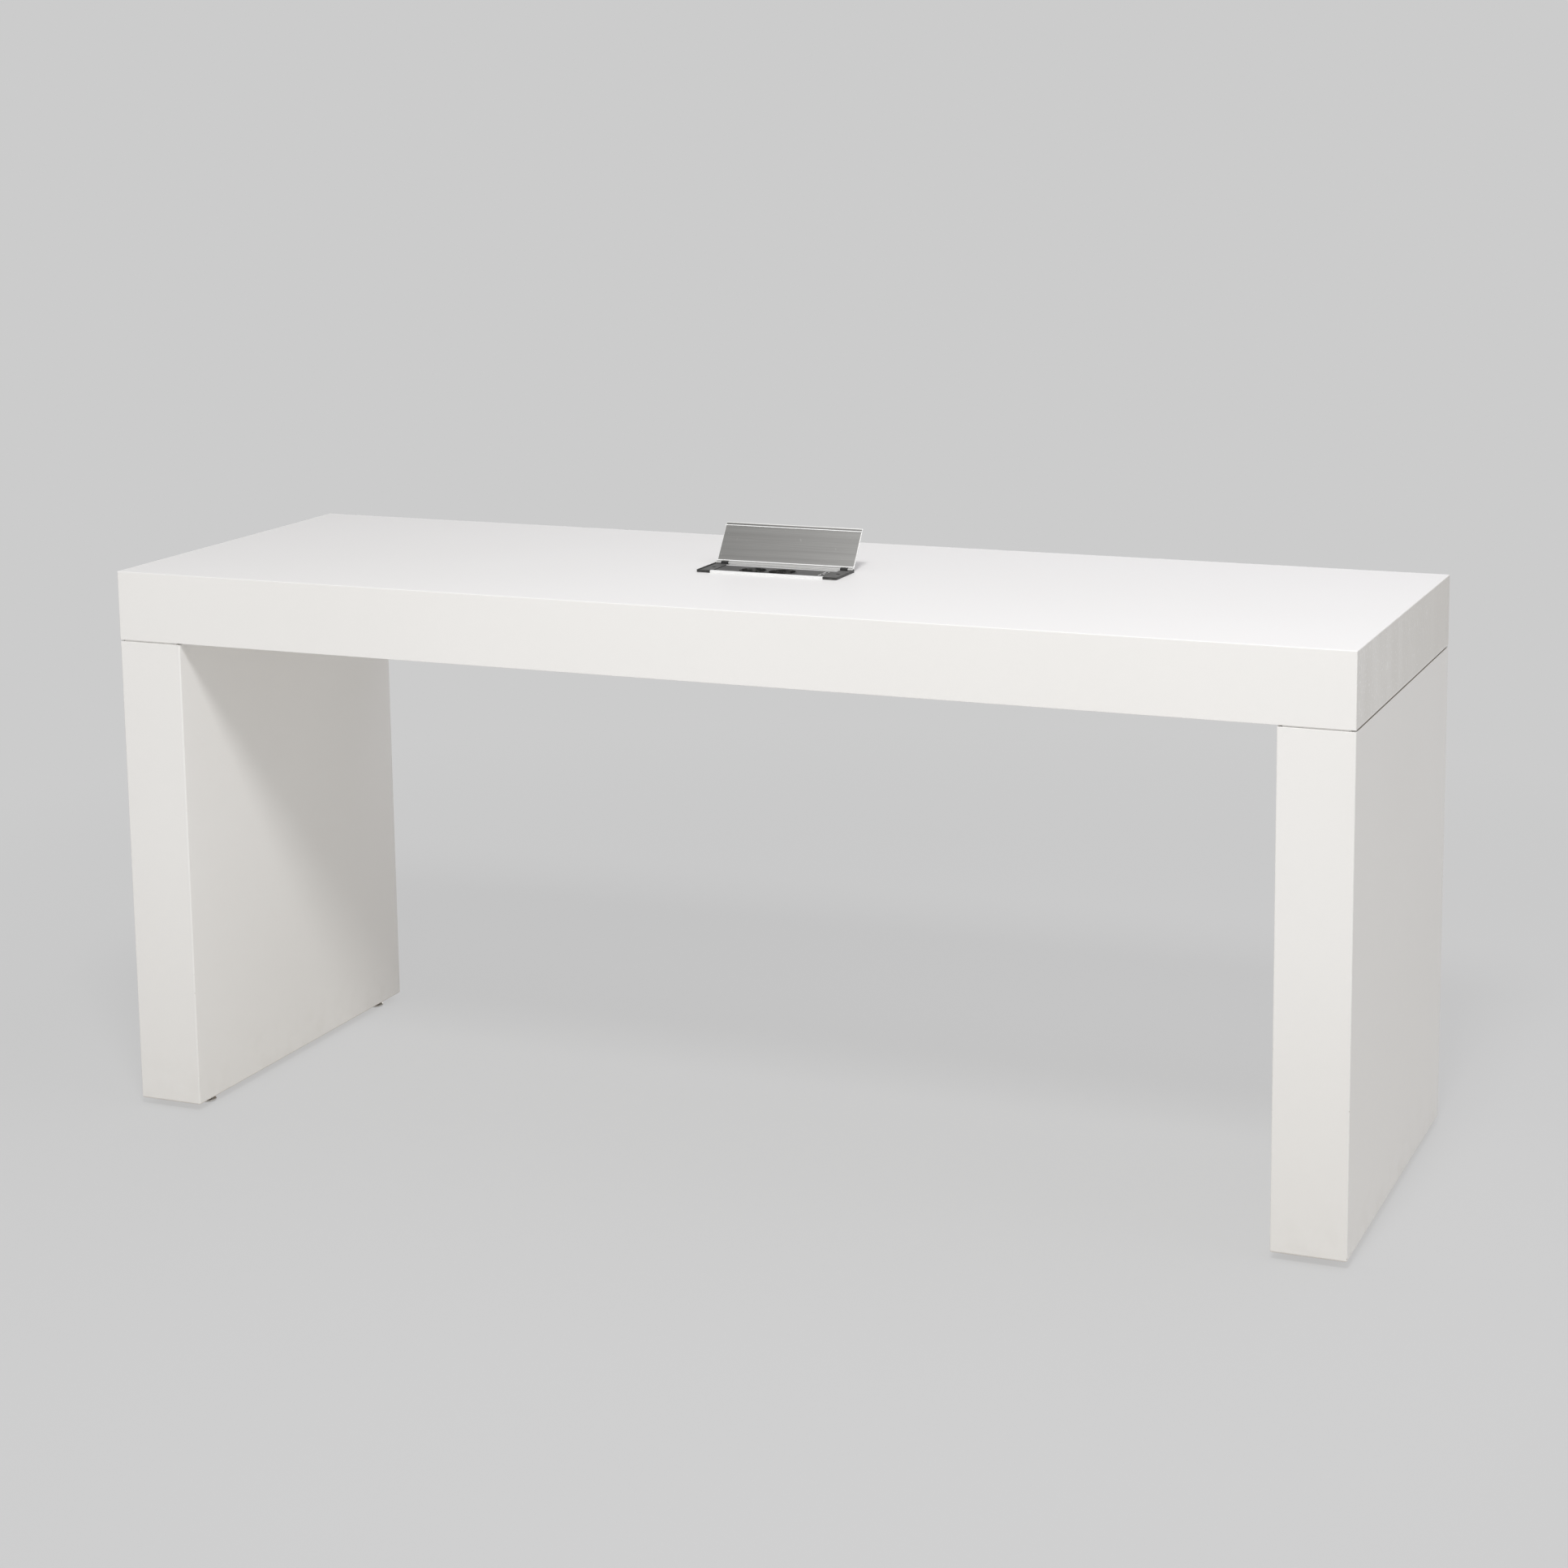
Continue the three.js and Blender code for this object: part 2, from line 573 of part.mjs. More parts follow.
// The tray is one extruded profile: front lip, plate ledges, trough and rear hinge rail
function tray() {
  const ledge = plateBottom - LEDGE_THICKNESS;
  const trayFloor = TRAY_WALL - TRAY_DROP;
  const shape = outline([
    [unitFront, 0],
    [-trayOuter, 0],
    [-trayOuter, -TRAY_DROP],
    [trayOuter, -TRAY_DROP],
    [trayOuter, 0],
    [unitRear, 0],
    [unitRear, FLANGE_RISE],
    [pocketRear + RAIL_WIDTH, FLANGE_RISE],
    [pocketRear + RAIL_WIDTH, RAIL_RISE],
    [pocketRear, RAIL_RISE],
    [pocketRear, plateBottom],
    [pocketRear - REAR_LEDGE, plateBottom],
    [pocketRear - REAR_LEDGE, ledge],
    [trayInner, ledge],
    [trayInner, trayFloor],
    [-trayInner, trayFloor],
    [-trayInner, ledge],
    [-trayInner + LEDGE_WIDTH, ledge],
    [-trayInner + LEDGE_WIDTH, plateBottom],
    [pocketFront, plateBottom],
    [pocketFront, LIP_RISE - LIP_CHAMFER],
    [pocketFront - LIP_CHAMFER, LIP_RISE],
    [unitFront + LIP_CHAMFER, LIP_RISE],
    [unitFront, LIP_RISE - LIP_CHAMFER],
  ]);
  const wireHole = post(WIRE_HOLE_RADIUS, -TRAY_DROP - OVERCUT, trayFloor + OVERCUT, -INLET_OFFSET, 0);
  const body = profileAlongX(shape, -pocketEnd + FIT, pocketEnd - FIT);
  return mesh('power_tray', brightAluminium, body.subtract(wireHole));
}

function facePlate() {
  let plate = block(
    [-pocketEnd + FIT, pocketFront + FIT, plateBottom],
    [pocketEnd - FIT, pocketRear - FIT, plateTop],
  );
  for (const x of Object.values(wellPlaces)) {
    const hole = post(wellBodyRadius + FIT, plateBottom - OVERCUT, plateTop + OVERCUT, x, wellY, WELL_SIDES);
    plate = plate.subtract(hole);
  }
  plate = plate.subtract(block(
    [chargerX - CHARGER_WIDTH / 2 - FIT, chargerY - chargerDepth / 2 - FIT, plateBottom - OVERCUT],
    [chargerX + CHARGER_WIDTH / 2 + FIT, chargerY + chargerDepth / 2 + FIT, plateTop + OVERCUT],
  ));
  return mesh('power_face_plate', greyPlastic, plate);
}

// An end cap lies on the table top, closes the tray's end and carries one hinge lug
function endCap(hand, side) {
  const ends = (inner, outer) => (side < 0 ? [-outer, -inner] : [inner, outer]);
  const [left, right] = ends(pocketEnd, unitEnd);
  const [squareLeft, squareRight] = ends(pocketEnd, pocketEnd + CAP_CORNER);
  const [fieldLeft, fieldRight] = ends(pocketEnd - OVERCUT, unitEnd - CAP_RIM);
  const [wallLeft, wallRight] = ends(pocketEnd, pocketEnd + CAP_WALL);
  const [lugLeft, lugRight] = ends(lugInner, lugOuter);

  const wall = block([wallLeft, -trayOuter, -TRAY_DROP], [wallRight, trayOuter, FLANGE_RISE]);
  const field = block(
    [fieldLeft, unitFront + CAP_RIM, LIP_RISE - CAP_FIELD],
    [fieldRight, troughFront + OVERCUT, LIP_RISE + OVERCUT],
  );
  const trough = block(
    [fieldLeft, troughFront, FLANGE_RISE],
    [fieldRight, unitRear + OVERCUT, LIP_RISE + OVERCUT],
  );
  const screwX = side * (pocketEnd + CAP_SCREW_OFFSET);
  const headSeat = LIP_RISE - CAP_FIELD - SCREW_HEAD_HEIGHT - FIT;
  const headHole = post(SCREW_HEAD_RADIUS + FIT, headSeat, LIP_RISE + OVERCUT, screwX, CAP_SCREW_SETBACK);
  const shankHole = post(SCREW_RADIUS + FIT, -OVERCUT, LIP_RISE, screwX, CAP_SCREW_SETBACK, SMALL_SIDES);
  const cover = roundedPrism(left, right, unitFront, unitRear, 0, LIP_RISE, CAP_CORNER)
    .add(block([squareLeft, unitFront, 0], [squareRight, unitRear, LIP_RISE]))
    .subtract(trough);

  const lugShape = new THREE.Shape();
  lugShape.moveTo(pivotY - LUG_RADIUS, 0);
  lugShape.lineTo(pivotY + LUG_RADIUS, 0);
  lugShape.lineTo(pivotY + LUG_RADIUS, pivotZ);
  lugShape.absarc(pivotY, pivotZ, LUG_RADIUS, 0, Math.PI);
  lugShape.lineTo(pivotY - LUG_RADIUS, 0);
  const lug = profileAlongX(lugShape, lugLeft, lugRight);
  const pinHole = axle(PIN_RADIUS + FIT, lugLeft - OVERCUT, lugRight + OVERCUT);

  const drilled = cover.add(wall).subtract(field).subtract(headHole).subtract(shankHole);
  const cap = drilled.add(lug).subtract(pinHole);
  return mesh(`power_${hand}_end_cap`, greyPlastic, cap);
}

// A round rod along the hinge line
function axle(radius, from, to) {
  const rod = new THREE.CylinderGeometry(radius, radius, to - from, SMALL_SIDES);
  rod.rotateZ(Math.PI / 2);
  rod.translate((from + to) / 2, pivotY, pivotZ);
  return solid(rod);
}

function hingePin(hand, side) {
  const ends = [side * (lugInner - PIN_REACH), side * (lugOuter + PIN_REACH)];
  return mesh(`${hand}_hinge_pin`, zincSteel, axle(PIN_RADIUS, Math.min(...ends), Math.max(...ends)));
}

// A cross-slotted screw through the end cap into the top board
function capScrew(hand, side) {
  const head = LIP_RISE - CAP_FIELD - FIT;
  const neck = head - SCREW_HEAD_HEIGHT;
  let screw = turned([
    [0, -SCREW_BITE],
    [SCREW_RADIUS / 2, -SCREW_BITE],
    [SCREW_RADIUS, -SCREW_BITE + SCREW_RADIUS],
    [SCREW_RADIUS, neck],
    [SCREW_HEAD_RADIUS, neck],
    [SCREW_HEAD_RADIUS, head],
    [0, head],
  ], SMALL_SIDES);
  for (const [alongX, alongY] of [
    [SCREW_SLOT_LENGTH / 2, SCREW_SLOT_WIDTH / 2], [SCREW_SLOT_WIDTH / 2, SCREW_SLOT_LENGTH / 2],
  ]) {
    const slot = block([-alongX, -alongY, head - SCREW_SLOT_DEPTH], [alongX, alongY, head + OVERCUT]);
    screw = screw.subtract(slot);
  }
  const made = mesh(`${hand}_cap_screw`, zincSteel, screw);
  made.position.set(side * (pocketEnd + CAP_SCREW_OFFSET), CAP_SCREW_SETBACK, 0);
  return made;
}

// Round socket well with two pin holes and a slot on each side for the earth clip
function socketWell(hand) {
  const floor = -WELL_DEPTH - WELL_FLOOR;
  const seat = FIT / 2;
  let well = turned([
    [0, floor],
    [wellBodyRadius, floor],
    [wellBodyRadius, seat],
    [wellRimRadius, seat],
    [wellRimRadius, WELL_RIM_HEIGHT],
    [WELL_RADIUS, WELL_RIM_HEIGHT],
    [WELL_RADIUS, -WELL_DEPTH],
    [0, -WELL_DEPTH],
  ], WELL_SIDES);
  for (const end of [-1, 1]) {
    const pinY = end * PIN_HOLE_SPACING / 2;
    well = well.subtract(post(PIN_HOLE_RADIUS, floor - OVERCUT, 0, 0, pinY, SMALL_SIDES));
    const slotHalf = STRAP_WIDTH / 2 + FIT;
    const slotEnds = [end * (WELL_RADIUS - OVERCUT), end * (wellBodyRadius + OVERCUT)];
    well = well.subtract(block(
      [Math.min(...slotEnds), -slotHalf, -STRAP_SLOT_TOP - STRAP_SLOT_HEIGHT],
      [Math.max(...slotEnds), slotHalf, -STRAP_SLOT_TOP],
    ));
  }
  const made = mesh(`${hand}_socket_well`, blackPlastic, well);
  made.position.set(wellPlaces[hand], wellY, plateTop);
  made.rotation.z = THREE.MathUtils.degToRad(SOCKET_TURN);
  return made;
}

// One bent strip under the well whose two ends spring in through the slots as earth clips
function earthStrap(hand) {
  const under = -WELL_DEPTH - WELL_FLOOR - FIT;
  const arm = wellBodyRadius + FIT;
  const slotFoot = -STRAP_SLOT_TOP - STRAP_SLOT_HEIGHT + FIT;
  const slotHead = -STRAP_SLOT_TOP - FIT;
  const slotMiddle = (slotFoot + slotHead) / 2;
  const inside = [
    [arm, under],
    [arm, slotFoot],
    [WELL_RADIUS - STRAP_BULGE, slotMiddle],
    [WELL_RADIUS, slotHead],
  ];
  const outside = [
    [WELL_RADIUS + STRAP_THICKNESS, slotHead],
    [WELL_RADIUS - STRAP_BULGE + STRAP_THICKNESS, slotMiddle],
    [arm + STRAP_THICKNESS, slotFoot],
    [arm + STRAP_THICKNESS, under - STRAP_THICKNESS],
  ];
  const right = [...inside, ...outside];
  const left = right.map(([across, up]) => [-across, up]).reverse();
  const geometry = new THREE.ExtrudeGeometry(outline([...right, ...left]), {
    depth: STRAP_WIDTH,
    bevelEnabled: false,
  });
  geometry.translate(0, 0, -STRAP_WIDTH / 2);
  geometry.rotateX(Math.PI / 2);
  const made = mesh(`${hand}_earth_strap`, contactBrass, solid(geometry));
  made.position.set(wellPlaces[hand], wellY, plateTop);
  made.rotation.z = THREE.MathUtils.degToRad(SOCKET_TURN);
  return made;
}

// Charger block under the plate, with two ports one behind the other, each in a metal shell whose
// rim stands just proud of the block's face
function charger() {
  const halfWidth = CHARGER_WIDTH / 2;
  const halfDepth = chargerDepth / 2;
  const shoulder = -PLATE_THICKNESS - FIT;
  const neck = block([-halfWidth, -halfDepth, shoulder - OVERCUT], [halfWidth, halfDepth, 0]);
  let body = neck.add(block(
    [-halfWidth - CHARGER_SHOULDER, -halfDepth - CHARGER_SHOULDER, -CHARGER_DROP],
    [halfWidth + CHARGER_SHOULDER, halfDepth + CHARGER_SHOULDER, shoulder],
  ));
  for (const end of [-1, 1]) {
    const y = end * PORT_SPACING / 2;
    const shell = block(
      [-PORT_WIDTH / 2 - PORT_SHELL, y - PORT_LENGTH / 2 - PORT_SHELL, -PORT_DROP],
      [PORT_WIDTH / 2 + PORT_SHELL, y + PORT_LENGTH / 2 + PORT_SHELL, PORT_SHELL_RISE],
    );
    const pocket = block(
      [-PORT_WIDTH / 2, y - PORT_LENGTH / 2, -PORT_DROP],
      [PORT_WIDTH / 2, y + PORT_LENGTH / 2, OVERCUT],
    );
    const tongue = block(
      [-TONGUE_WIDTH / 2, y - TONGUE_LENGTH / 2, -PORT_DROP - OVERCUT],
      [TONGUE_WIDTH / 2, y + TONGUE_LENGTH / 2, -PORT_DROP + TONGUE_HEIGHT],
    );
    body = body.add(shell).subtract(pocket.subtract(tongue));
  }
  const made = mesh('charger_block', blackPlastic, body);
  made.position.set(chargerX, chargerY, plateTop);
  return made;
}

// Mains inlet under the tray, open downwards, with three contact pins
function inlet() {
  const halfLength = INLET_LENGTH / 2;
  const halfDepth = INLET_DEPTH / 2;
  const roof = -INLET_WALL;
  let body = block([-halfLength, -halfDepth, -INLET_HEIGHT], [halfLength, halfDepth, 0]);
  body = body.subtract(block(
    [-halfLength + INLET_WALL, -halfDepth + INLET_WALL, -INLET_HEIGHT - OVERCUT],
    [halfLength - INLET_WALL, halfDepth - INLET_WALL, roof],
  ));
  for (const place of [-1, 0, 1]) {
    const x = place * INLET_PIN_SPACING;
    const tip = roof - INLET_PIN_LENGTH;
    body = body.add(post(INLET_PIN_RADIUS, tip, roof + INLET_WALL / 2, x, 0, SMALL_SIDES));
  }
  const made = mesh('power_inlet', blackPlastic, body);
  made.position.set(-INLET_OFFSET, 0, -TRAY_DROP - FIT);
  return made;
}

// Lid: one extruded profile with a hinge barrel, drawn upright with the hinge line at the
// origin and its inner face towards -Y, notched round the two lugs
function lid() {
  const inner = lidStandoff;
  const outer = lidStandoff + LID_SHEET;
  const ribFace = inner - LID_RIB_HEIGHT;
  const heel = BARREL_RADIUS / 2;
  const shape = outline([
    [outer, heel],
    [outer, lidReach],
    [inner + LID_LIP_STEP, lidReach],
    [inner + LID_LIP_STEP, lidFrontRib + LID_RIB_WIDTH],
    [ribFace, lidFrontRib + LID_RIB_WIDTH],
    [ribFace, lidFrontRib],
    [inner, lidFrontRib],
    [inner, HINGE_LEAF + LID_RIB_WIDTH],
    [ribFace, HINGE_LEAF + LID_RIB_WIDTH],
    [ribFace, HINGE_LEAF],
    [ribFace + LID_LIP_STEP, HINGE_LEAF],
    [-heel, heel],
  ]);
  const barrelShape = new THREE.Shape();
  barrelShape.absarc(0, 0, BARREL_RADIUS, 0, 2 * Math.PI);
  const boreShape = new THREE.Shape();
  boreShape.absarc(0, 0, PIN_RADIUS + FIT, 0, 2 * Math.PI);
  let body = profileAlongX(shape, -lidEnd, lidEnd);
  body = body.add(profileAlongX(barrelShape, -lidEnd, lidEnd));
  body = body.subtract(profileAlongX(boreShape, -lidEnd - OVERCUT, lidEnd + OVERCUT));
  for (const side of [-1, 1]) {
    const ends = [side * (lugInner - FIT), side * (lugOuter + FIT)];
    body = body.subtract(block(
      [Math.min(...ends), -2 * BARREL_RADIUS, -2 * BARREL_RADIUS],
      [Math.max(...ends), 2 * BARREL_RADIUS, HINGE_LEAF - FIT],
    ));
  }
  return mesh('power_lid', brushedAluminium, body);
}

const table = new THREE.Group();
table.add(slab(), leg('left', -1), leg('right', 1), powerUnit());

export default table;
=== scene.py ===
import json
import math

import bmesh
import bpy
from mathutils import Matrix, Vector


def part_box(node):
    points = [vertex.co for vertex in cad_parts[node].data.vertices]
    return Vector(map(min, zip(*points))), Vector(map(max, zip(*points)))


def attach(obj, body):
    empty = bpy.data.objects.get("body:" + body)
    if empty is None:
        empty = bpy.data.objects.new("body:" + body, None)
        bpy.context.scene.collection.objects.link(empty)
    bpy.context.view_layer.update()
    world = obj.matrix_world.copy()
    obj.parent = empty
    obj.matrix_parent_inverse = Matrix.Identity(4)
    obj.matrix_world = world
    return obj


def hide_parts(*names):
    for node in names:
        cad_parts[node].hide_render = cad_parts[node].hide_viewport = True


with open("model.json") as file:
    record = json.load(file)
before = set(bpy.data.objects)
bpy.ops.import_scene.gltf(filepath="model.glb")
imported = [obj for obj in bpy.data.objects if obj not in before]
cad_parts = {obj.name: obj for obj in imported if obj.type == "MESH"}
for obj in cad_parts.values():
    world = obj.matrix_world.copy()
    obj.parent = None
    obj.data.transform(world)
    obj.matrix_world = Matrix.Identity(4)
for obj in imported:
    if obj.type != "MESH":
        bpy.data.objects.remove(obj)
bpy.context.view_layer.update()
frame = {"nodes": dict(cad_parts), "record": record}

# Slab: a hollow box of fibreboard, mitred and glued, then filled, sanded and sprayed all over
# with satin white lacquer, so that it reads as one thick seamless block. The top has a cut-out
# for the power unit and the underside a recess for the board that closes it.


class Socket:
    """A shader value that takes part in Python expressions."""

    def __init__(self, finish, link):
        self.finish = finish
        self.link = link

    def math(self, operation, first, second=0.0):
        return self.finish.node("ShaderNodeMath", {"operation": operation}, {0: first, 1: second})

    def __add__(self, other):
        return self.math("ADD", self, other)

    def __radd__(self, other):
        return self.math("ADD", other, self)

    def __sub__(self, other):
        return self.math("SUBTRACT", self, other)

    def __rsub__(self, other):
        return self.math("SUBTRACT", other, self)

    def __mul__(self, other):
        return self.math("MULTIPLY", self, other)

    def __rmul__(self, other):
        return self.math("MULTIPLY", other, self)

    def __abs__(self):
        return self.math("ABSOLUTE", self)

    def sine(self):
        return self.math("SINE", self)


class Finish:
    """The nodes of one material, or of the world, with the values that feed its shader."""

    DARK_STOP = 0.3
    PALE_STOP = 0.7

    def __init__(self, owner):
        self.owner = owner
        owner.use_nodes = True
        self.tree = owner.node_tree
        self.shader = self.tree.nodes.get("Principled BSDF")

    def node(self, kind, settings, sockets, output=0):
        made = self.tree.nodes.new(kind)
        for name, value in settings.items():
            if name == "stops":
                ramp = made.color_ramp.elements
                while len(ramp) < len(value):
                    ramp.new(1.0)
                for stop, (place, colour) in zip(ramp, value):
                    stop.position = place
                    stop.color = (*colour, 1.0)
            else:
                setattr(made, name, value)
        for name, value in sockets.items():
            self.feed(made.inputs[name], value)
        return Socket(self, made.outputs[output])

    def feed(self, socket, value):
        if isinstance(value, Socket):
            self.tree.links.new(value.link, socket)
        elif isinstance(value, tuple) and socket.type == "RGBA":
            socket.default_value = (*value, 1.0)
        else:
            socket.default_value = value

    def set(self, **sockets):
        for name, value in sockets.items():
            self.feed(self.shader.inputs[name.replace("_", " ").title()], value)

    def place(self, stretch):
        coordinates = self.node("ShaderNodeTexCoord", {}, {}, "Object")
        return self.node("ShaderNodeMapping", {}, {"Vector": coordinates, "Scale": stretch})

    def along(self, axis):
        coordinates = self.node("ShaderNodeTexCoord", {}, {}, "Object")
        return self.node("ShaderNodeSeparateXYZ", {}, {0: coordinates}, axis)

    def noise(self, scale, detail, stretch=(1.0, 1.0, 1.0)):
        sockets = {"Vector": self.place(stretch), "Scale": scale, "Detail": detail}
        return self.node("ShaderNodeTexNoise", {}, sockets, "Fac")

    def remap(self, value, low, high, out_low=0.0, out_high=1.0):
        sockets = {0: value, 1: low, 2: high, 3: out_low, 4: out_high}
        return self.node("ShaderNodeMapRange", {"clamp": True}, sockets)

    def spots(self, scale, detail, low, high, stretch=(1.0, 1.0, 1.0)):
        return self.remap(self.noise(scale, detail, stretch), low, high)

    def ramp(self, value, stops):
        return self.node("ShaderNodeValToRGB", {"stops": stops}, {"Fac": value}, "Color")

    def shades(self, value, dark, pale):
        return self.ramp(value, [(self.DARK_STOP, dark), (self.PALE_STOP, pale)])

    def blend(self, share, first, second):
        sockets = {0: share, 6: first, 7: second}
        return self.node("ShaderNodeMix", {"data_type": "RGBA"}, sockets, 2)

    def roughen(self, value, least, most):
        self.set(roughness=self.remap(value, 0.0, 1.0, out_low=least, out_high=most))

    def bump(self, height, distance, strength=1.0):
        sockets = {"Height": height, "Distance": distance, "Strength": strength}
        self.set(normal=self.node("ShaderNodeBump", {}, sockets))


SMOOTH_BELOW = math.radians(32)


def piece(name, shape, finishes, body, replaced=(), smooth=False):
    for face in shape.faces:
        face.smooth = smooth
    mesh = bpy.data.meshes.new(name)
    shape.to_mesh(mesh)
    shape.free()
    if smooth:
        mesh.set_sharp_from_angle(angle=SMOOTH_BELOW)
    for finish in finishes:
        mesh.materials.append(finish.owner)
    made = bpy.data.objects.new(name, mesh)
    bpy.context.scene.collection.objects.link(made)
    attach(made, body)
    if replaced:
        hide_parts(*replaced)
    return made


def refinish(nodes, finish):
    for node in nodes:
        slots = frame["nodes"][node].data.materials
        slots.clear()
        slots.append(finish.owner)


def reach(nodes):
    corners = [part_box(node) for node in nodes]
    low = Vector([min(corner[0][axis] for corner in corners) for axis in range(3)])
    high = Vector([max(corner[1][axis] for corner in corners) for axis in range(3)])
    return low, high


FLAT = 0.999
TOUCHING = 0.0003


def plain_block(low, high):
    block = bmesh.new()
    bmesh.ops.create_cube(block, size=1.0)
    bmesh.ops.scale(block, vec=high - low, verts=block.verts)
    bmesh.ops.translate(block, vec=(high + low) / 2, verts=block.verts)
    return block


def level_faces(block, way):
    return [face for face in block.faces if face.normal.z * way > FLAT]


def recess_below(block, inset, depth):
    underneath = max(level_faces(block, -1), key=lambda face: face.calc_area())
    bmesh.ops.inset_region(block, faces=[underneath], thickness=inset)
    underneath = max(level_faces(block, -1), key=lambda face: face.calc_area())
    raised = bmesh.ops.extrude_discrete_faces(block, faces=[underneath])["faces"]
    bmesh.ops.translate(block, vec=(0, 0, depth), verts=raised[0].verts)


def box_sides(vert, low, high):
    return {
        (axis, corner[axis]) for axis in range(3) for corner in (low, high)
        if abs(vert.co[axis] - corner[axis]) < TOUCHING
    }


def weigh_outer_edges(block, low, high, lower, upper):
    weight = block.edges.layers.float.new("bevel_weight_edge")
    level_sides = {(2, low.z): lower, (2, high.z): upper}
    for edge in block.edges:
        shared = box_sides(edge.verts[0], low, high) & box_sides(edge.verts[1], low, high)
        if len(shared) == 2:
            edge[weight] = min([level_sides[side] for side in shared if side in level_sides], default=1.0)


def round_edges(made, width, segments, limit):
    bevel = made.modifiers.new("rounded_edges", "BEVEL")
    bevel.width = width
    bevel.segments = segments
    bevel.limit_method = limit
    bevel.angle_limit = SMOOTH_BELOW
    bevel.harden_normals = True


HANDS = ("left", "right")
slab_boards = ("tabletop_panel", "front_apron", "rear_apron", "left_end_apron", "right_end_apron")
slab_low, slab_high = reach(slab_boards)
leg_boards = {
    hand: [f"{hand}_leg_{board}" for board in ("outer_panel", "inner_panel", "front_board", "rear_board")]
    for hand in HANDS
}
leg_low, leg_high = reach(leg_boards["right"])
spacer_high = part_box("right_shadow_spacer")[1]

# The finish of slab and legs: a warm white with faint clouding
WHITE = (0.868, 0.857, 0.841)
SHADED_WHITE = (0.853, 0.841, 0.823)
CLOUD_LOW = 0.35
CLOUD_HIGH = 0.65
lacquer = Finish(bpy.data.materials.new("satin_white_lacquer"))
from_middle = abs(lacquer.along("X"))
front_to_back = lacquer.along("Y")
height = lacquer.along("Z")
cloud = lacquer.noise(scale=1.6, detail=2.0)
tint = lacquer.blend(lacquer.remap(cloud, CLOUD_LOW, CLOUD_HIGH), WHITE, SHADED_WHITE)

# Wear on the slab's ends: painted shade that darkens them towards the rear, wiped streaks,
# scratches and specks mostly at the front
SOIL_AND_SHADE = (0.590, 0.562, 0.512)
RUBBED = (0.96, 0.955, 0.945)
END_FADE = 0.0010
END_FULL = 0.0004
LOWER_FADE = 0.004
HANDLED_TO = 0.20
HANDLED_BEYOND = 0.25
END_SHADE_FRONT = 0.25
END_SHADE_REAR = 0.42
MARKING = 0.8
WIPING = 0.35
outer = lacquer.remap(from_middle, slab_high.x - END_FADE, slab_high.x - END_FULL)
end_face = outer * lacquer.remap(height, slab_low.z, slab_low.z + LOWER_FADE)
handled = end_face * lacquer.remap(
    front_to_back, slab_low.y, HANDLED_TO, out_low=1.0, out_high=HANDLED_BEYOND,
)
clusters = lacquer.spots(scale=16.0, detail=2.0, low=0.44, high=0.60)
scratches = lacquer.spots(scale=330.0, detail=1.0, low=0.61, high=0.68, stretch=(1.0, 1.0, 0.14))
specks = lacquer.spots(scale=230.0, detail=0.0, low=0.69, high=0.73)
marks = MARKING * handled * (clusters * scratches + specks)
streaks = lacquer.spots(scale=26.0, detail=4.0, low=0.46, high=0.74, stretch=(1.0, 1.0, 0.16))
wipes = handled * streaks
# Painted shade: the slab's ends grow darker from front to rear
end_shade = end_face * lacquer.remap(
    front_to_back, slab_low.y, slab_high.y, out_low=END_SHADE_FRONT, out_high=END_SHADE_REAR,
)
tint = lacquer.blend(end_shade, tint, SOIL_AND_SHADE)
tint = lacquer.blend(WIPING * wipes, tint, RUBBED)
tint = lacquer.blend(marks, tint, RUBBED)

# Painted shade on the lower half of the legs, weaker on their outer faces, and smudges of dirt near the
# floor
LEG_SHADE_TOP = 0.42
LEG_SHADE_SHARE = 0.22
OUTER_SHADE_CUT = 0.8
SMUDGE_BAND = 0.085
SMUDGING = 0.14
# Painted shade: the legs grow darker towards the floor, less so on their outer faces
leg_shade_rise = lacquer.remap(height, leg_low.z, LEG_SHADE_TOP, out_low=LEG_SHADE_SHARE, out_high=0.0)
tint = lacquer.blend(leg_shade_rise * (1.0 - OUTER_SHADE_CUT * outer), tint, SOIL_AND_SHADE)
smudges = lacquer.spots(scale=34.0, detail=5.0, low=0.45, high=0.72)
low_band = lacquer.remap(height, leg_low.z, leg_low.z + SMUDGE_BAND, out_low=1.0, out_high=0.0)
tint = lacquer.blend(SMUDGING * low_band * smudges, tint, SOIL_AND_SHADE)

# Painted shade in brown on top of the legs in the side gaps, short of the corners
BARE_BOARD_AND_GAP_SHADE = (0.30, 0.255, 0.19)
GAP_SKIN = 0.0001
GAP_FADE = 0.0003
GAP_SHADE_SHARE = 0.72
GAP_SHADE_EDGE = 0.0007
gap_depth = leg_high.x - spacer_high.x
end_of_gap_shade = leg_high.y - gap_depth
# Painted shade: brown on the top of each leg inside the side gap
gap_shade = lacquer.remap(abs(height - leg_high.z), GAP_SKIN, GAP_FADE, out_low=1.0, out_high=0.0)
gap_shade = gap_shade * lacquer.remap(from_middle, spacer_high.x, spacer_high.x + GAP_SHADE_EDGE)
gap_shade = gap_shade * lacquer.remap(
    abs(front_to_back), end_of_gap_shade - gap_depth, end_of_gap_shade, out_low=1.0, out_high=0.0,
)
tint = lacquer.blend(GAP_SHADE_SHARE * gap_shade, tint, BARE_BOARD_AND_GAP_SHADE)

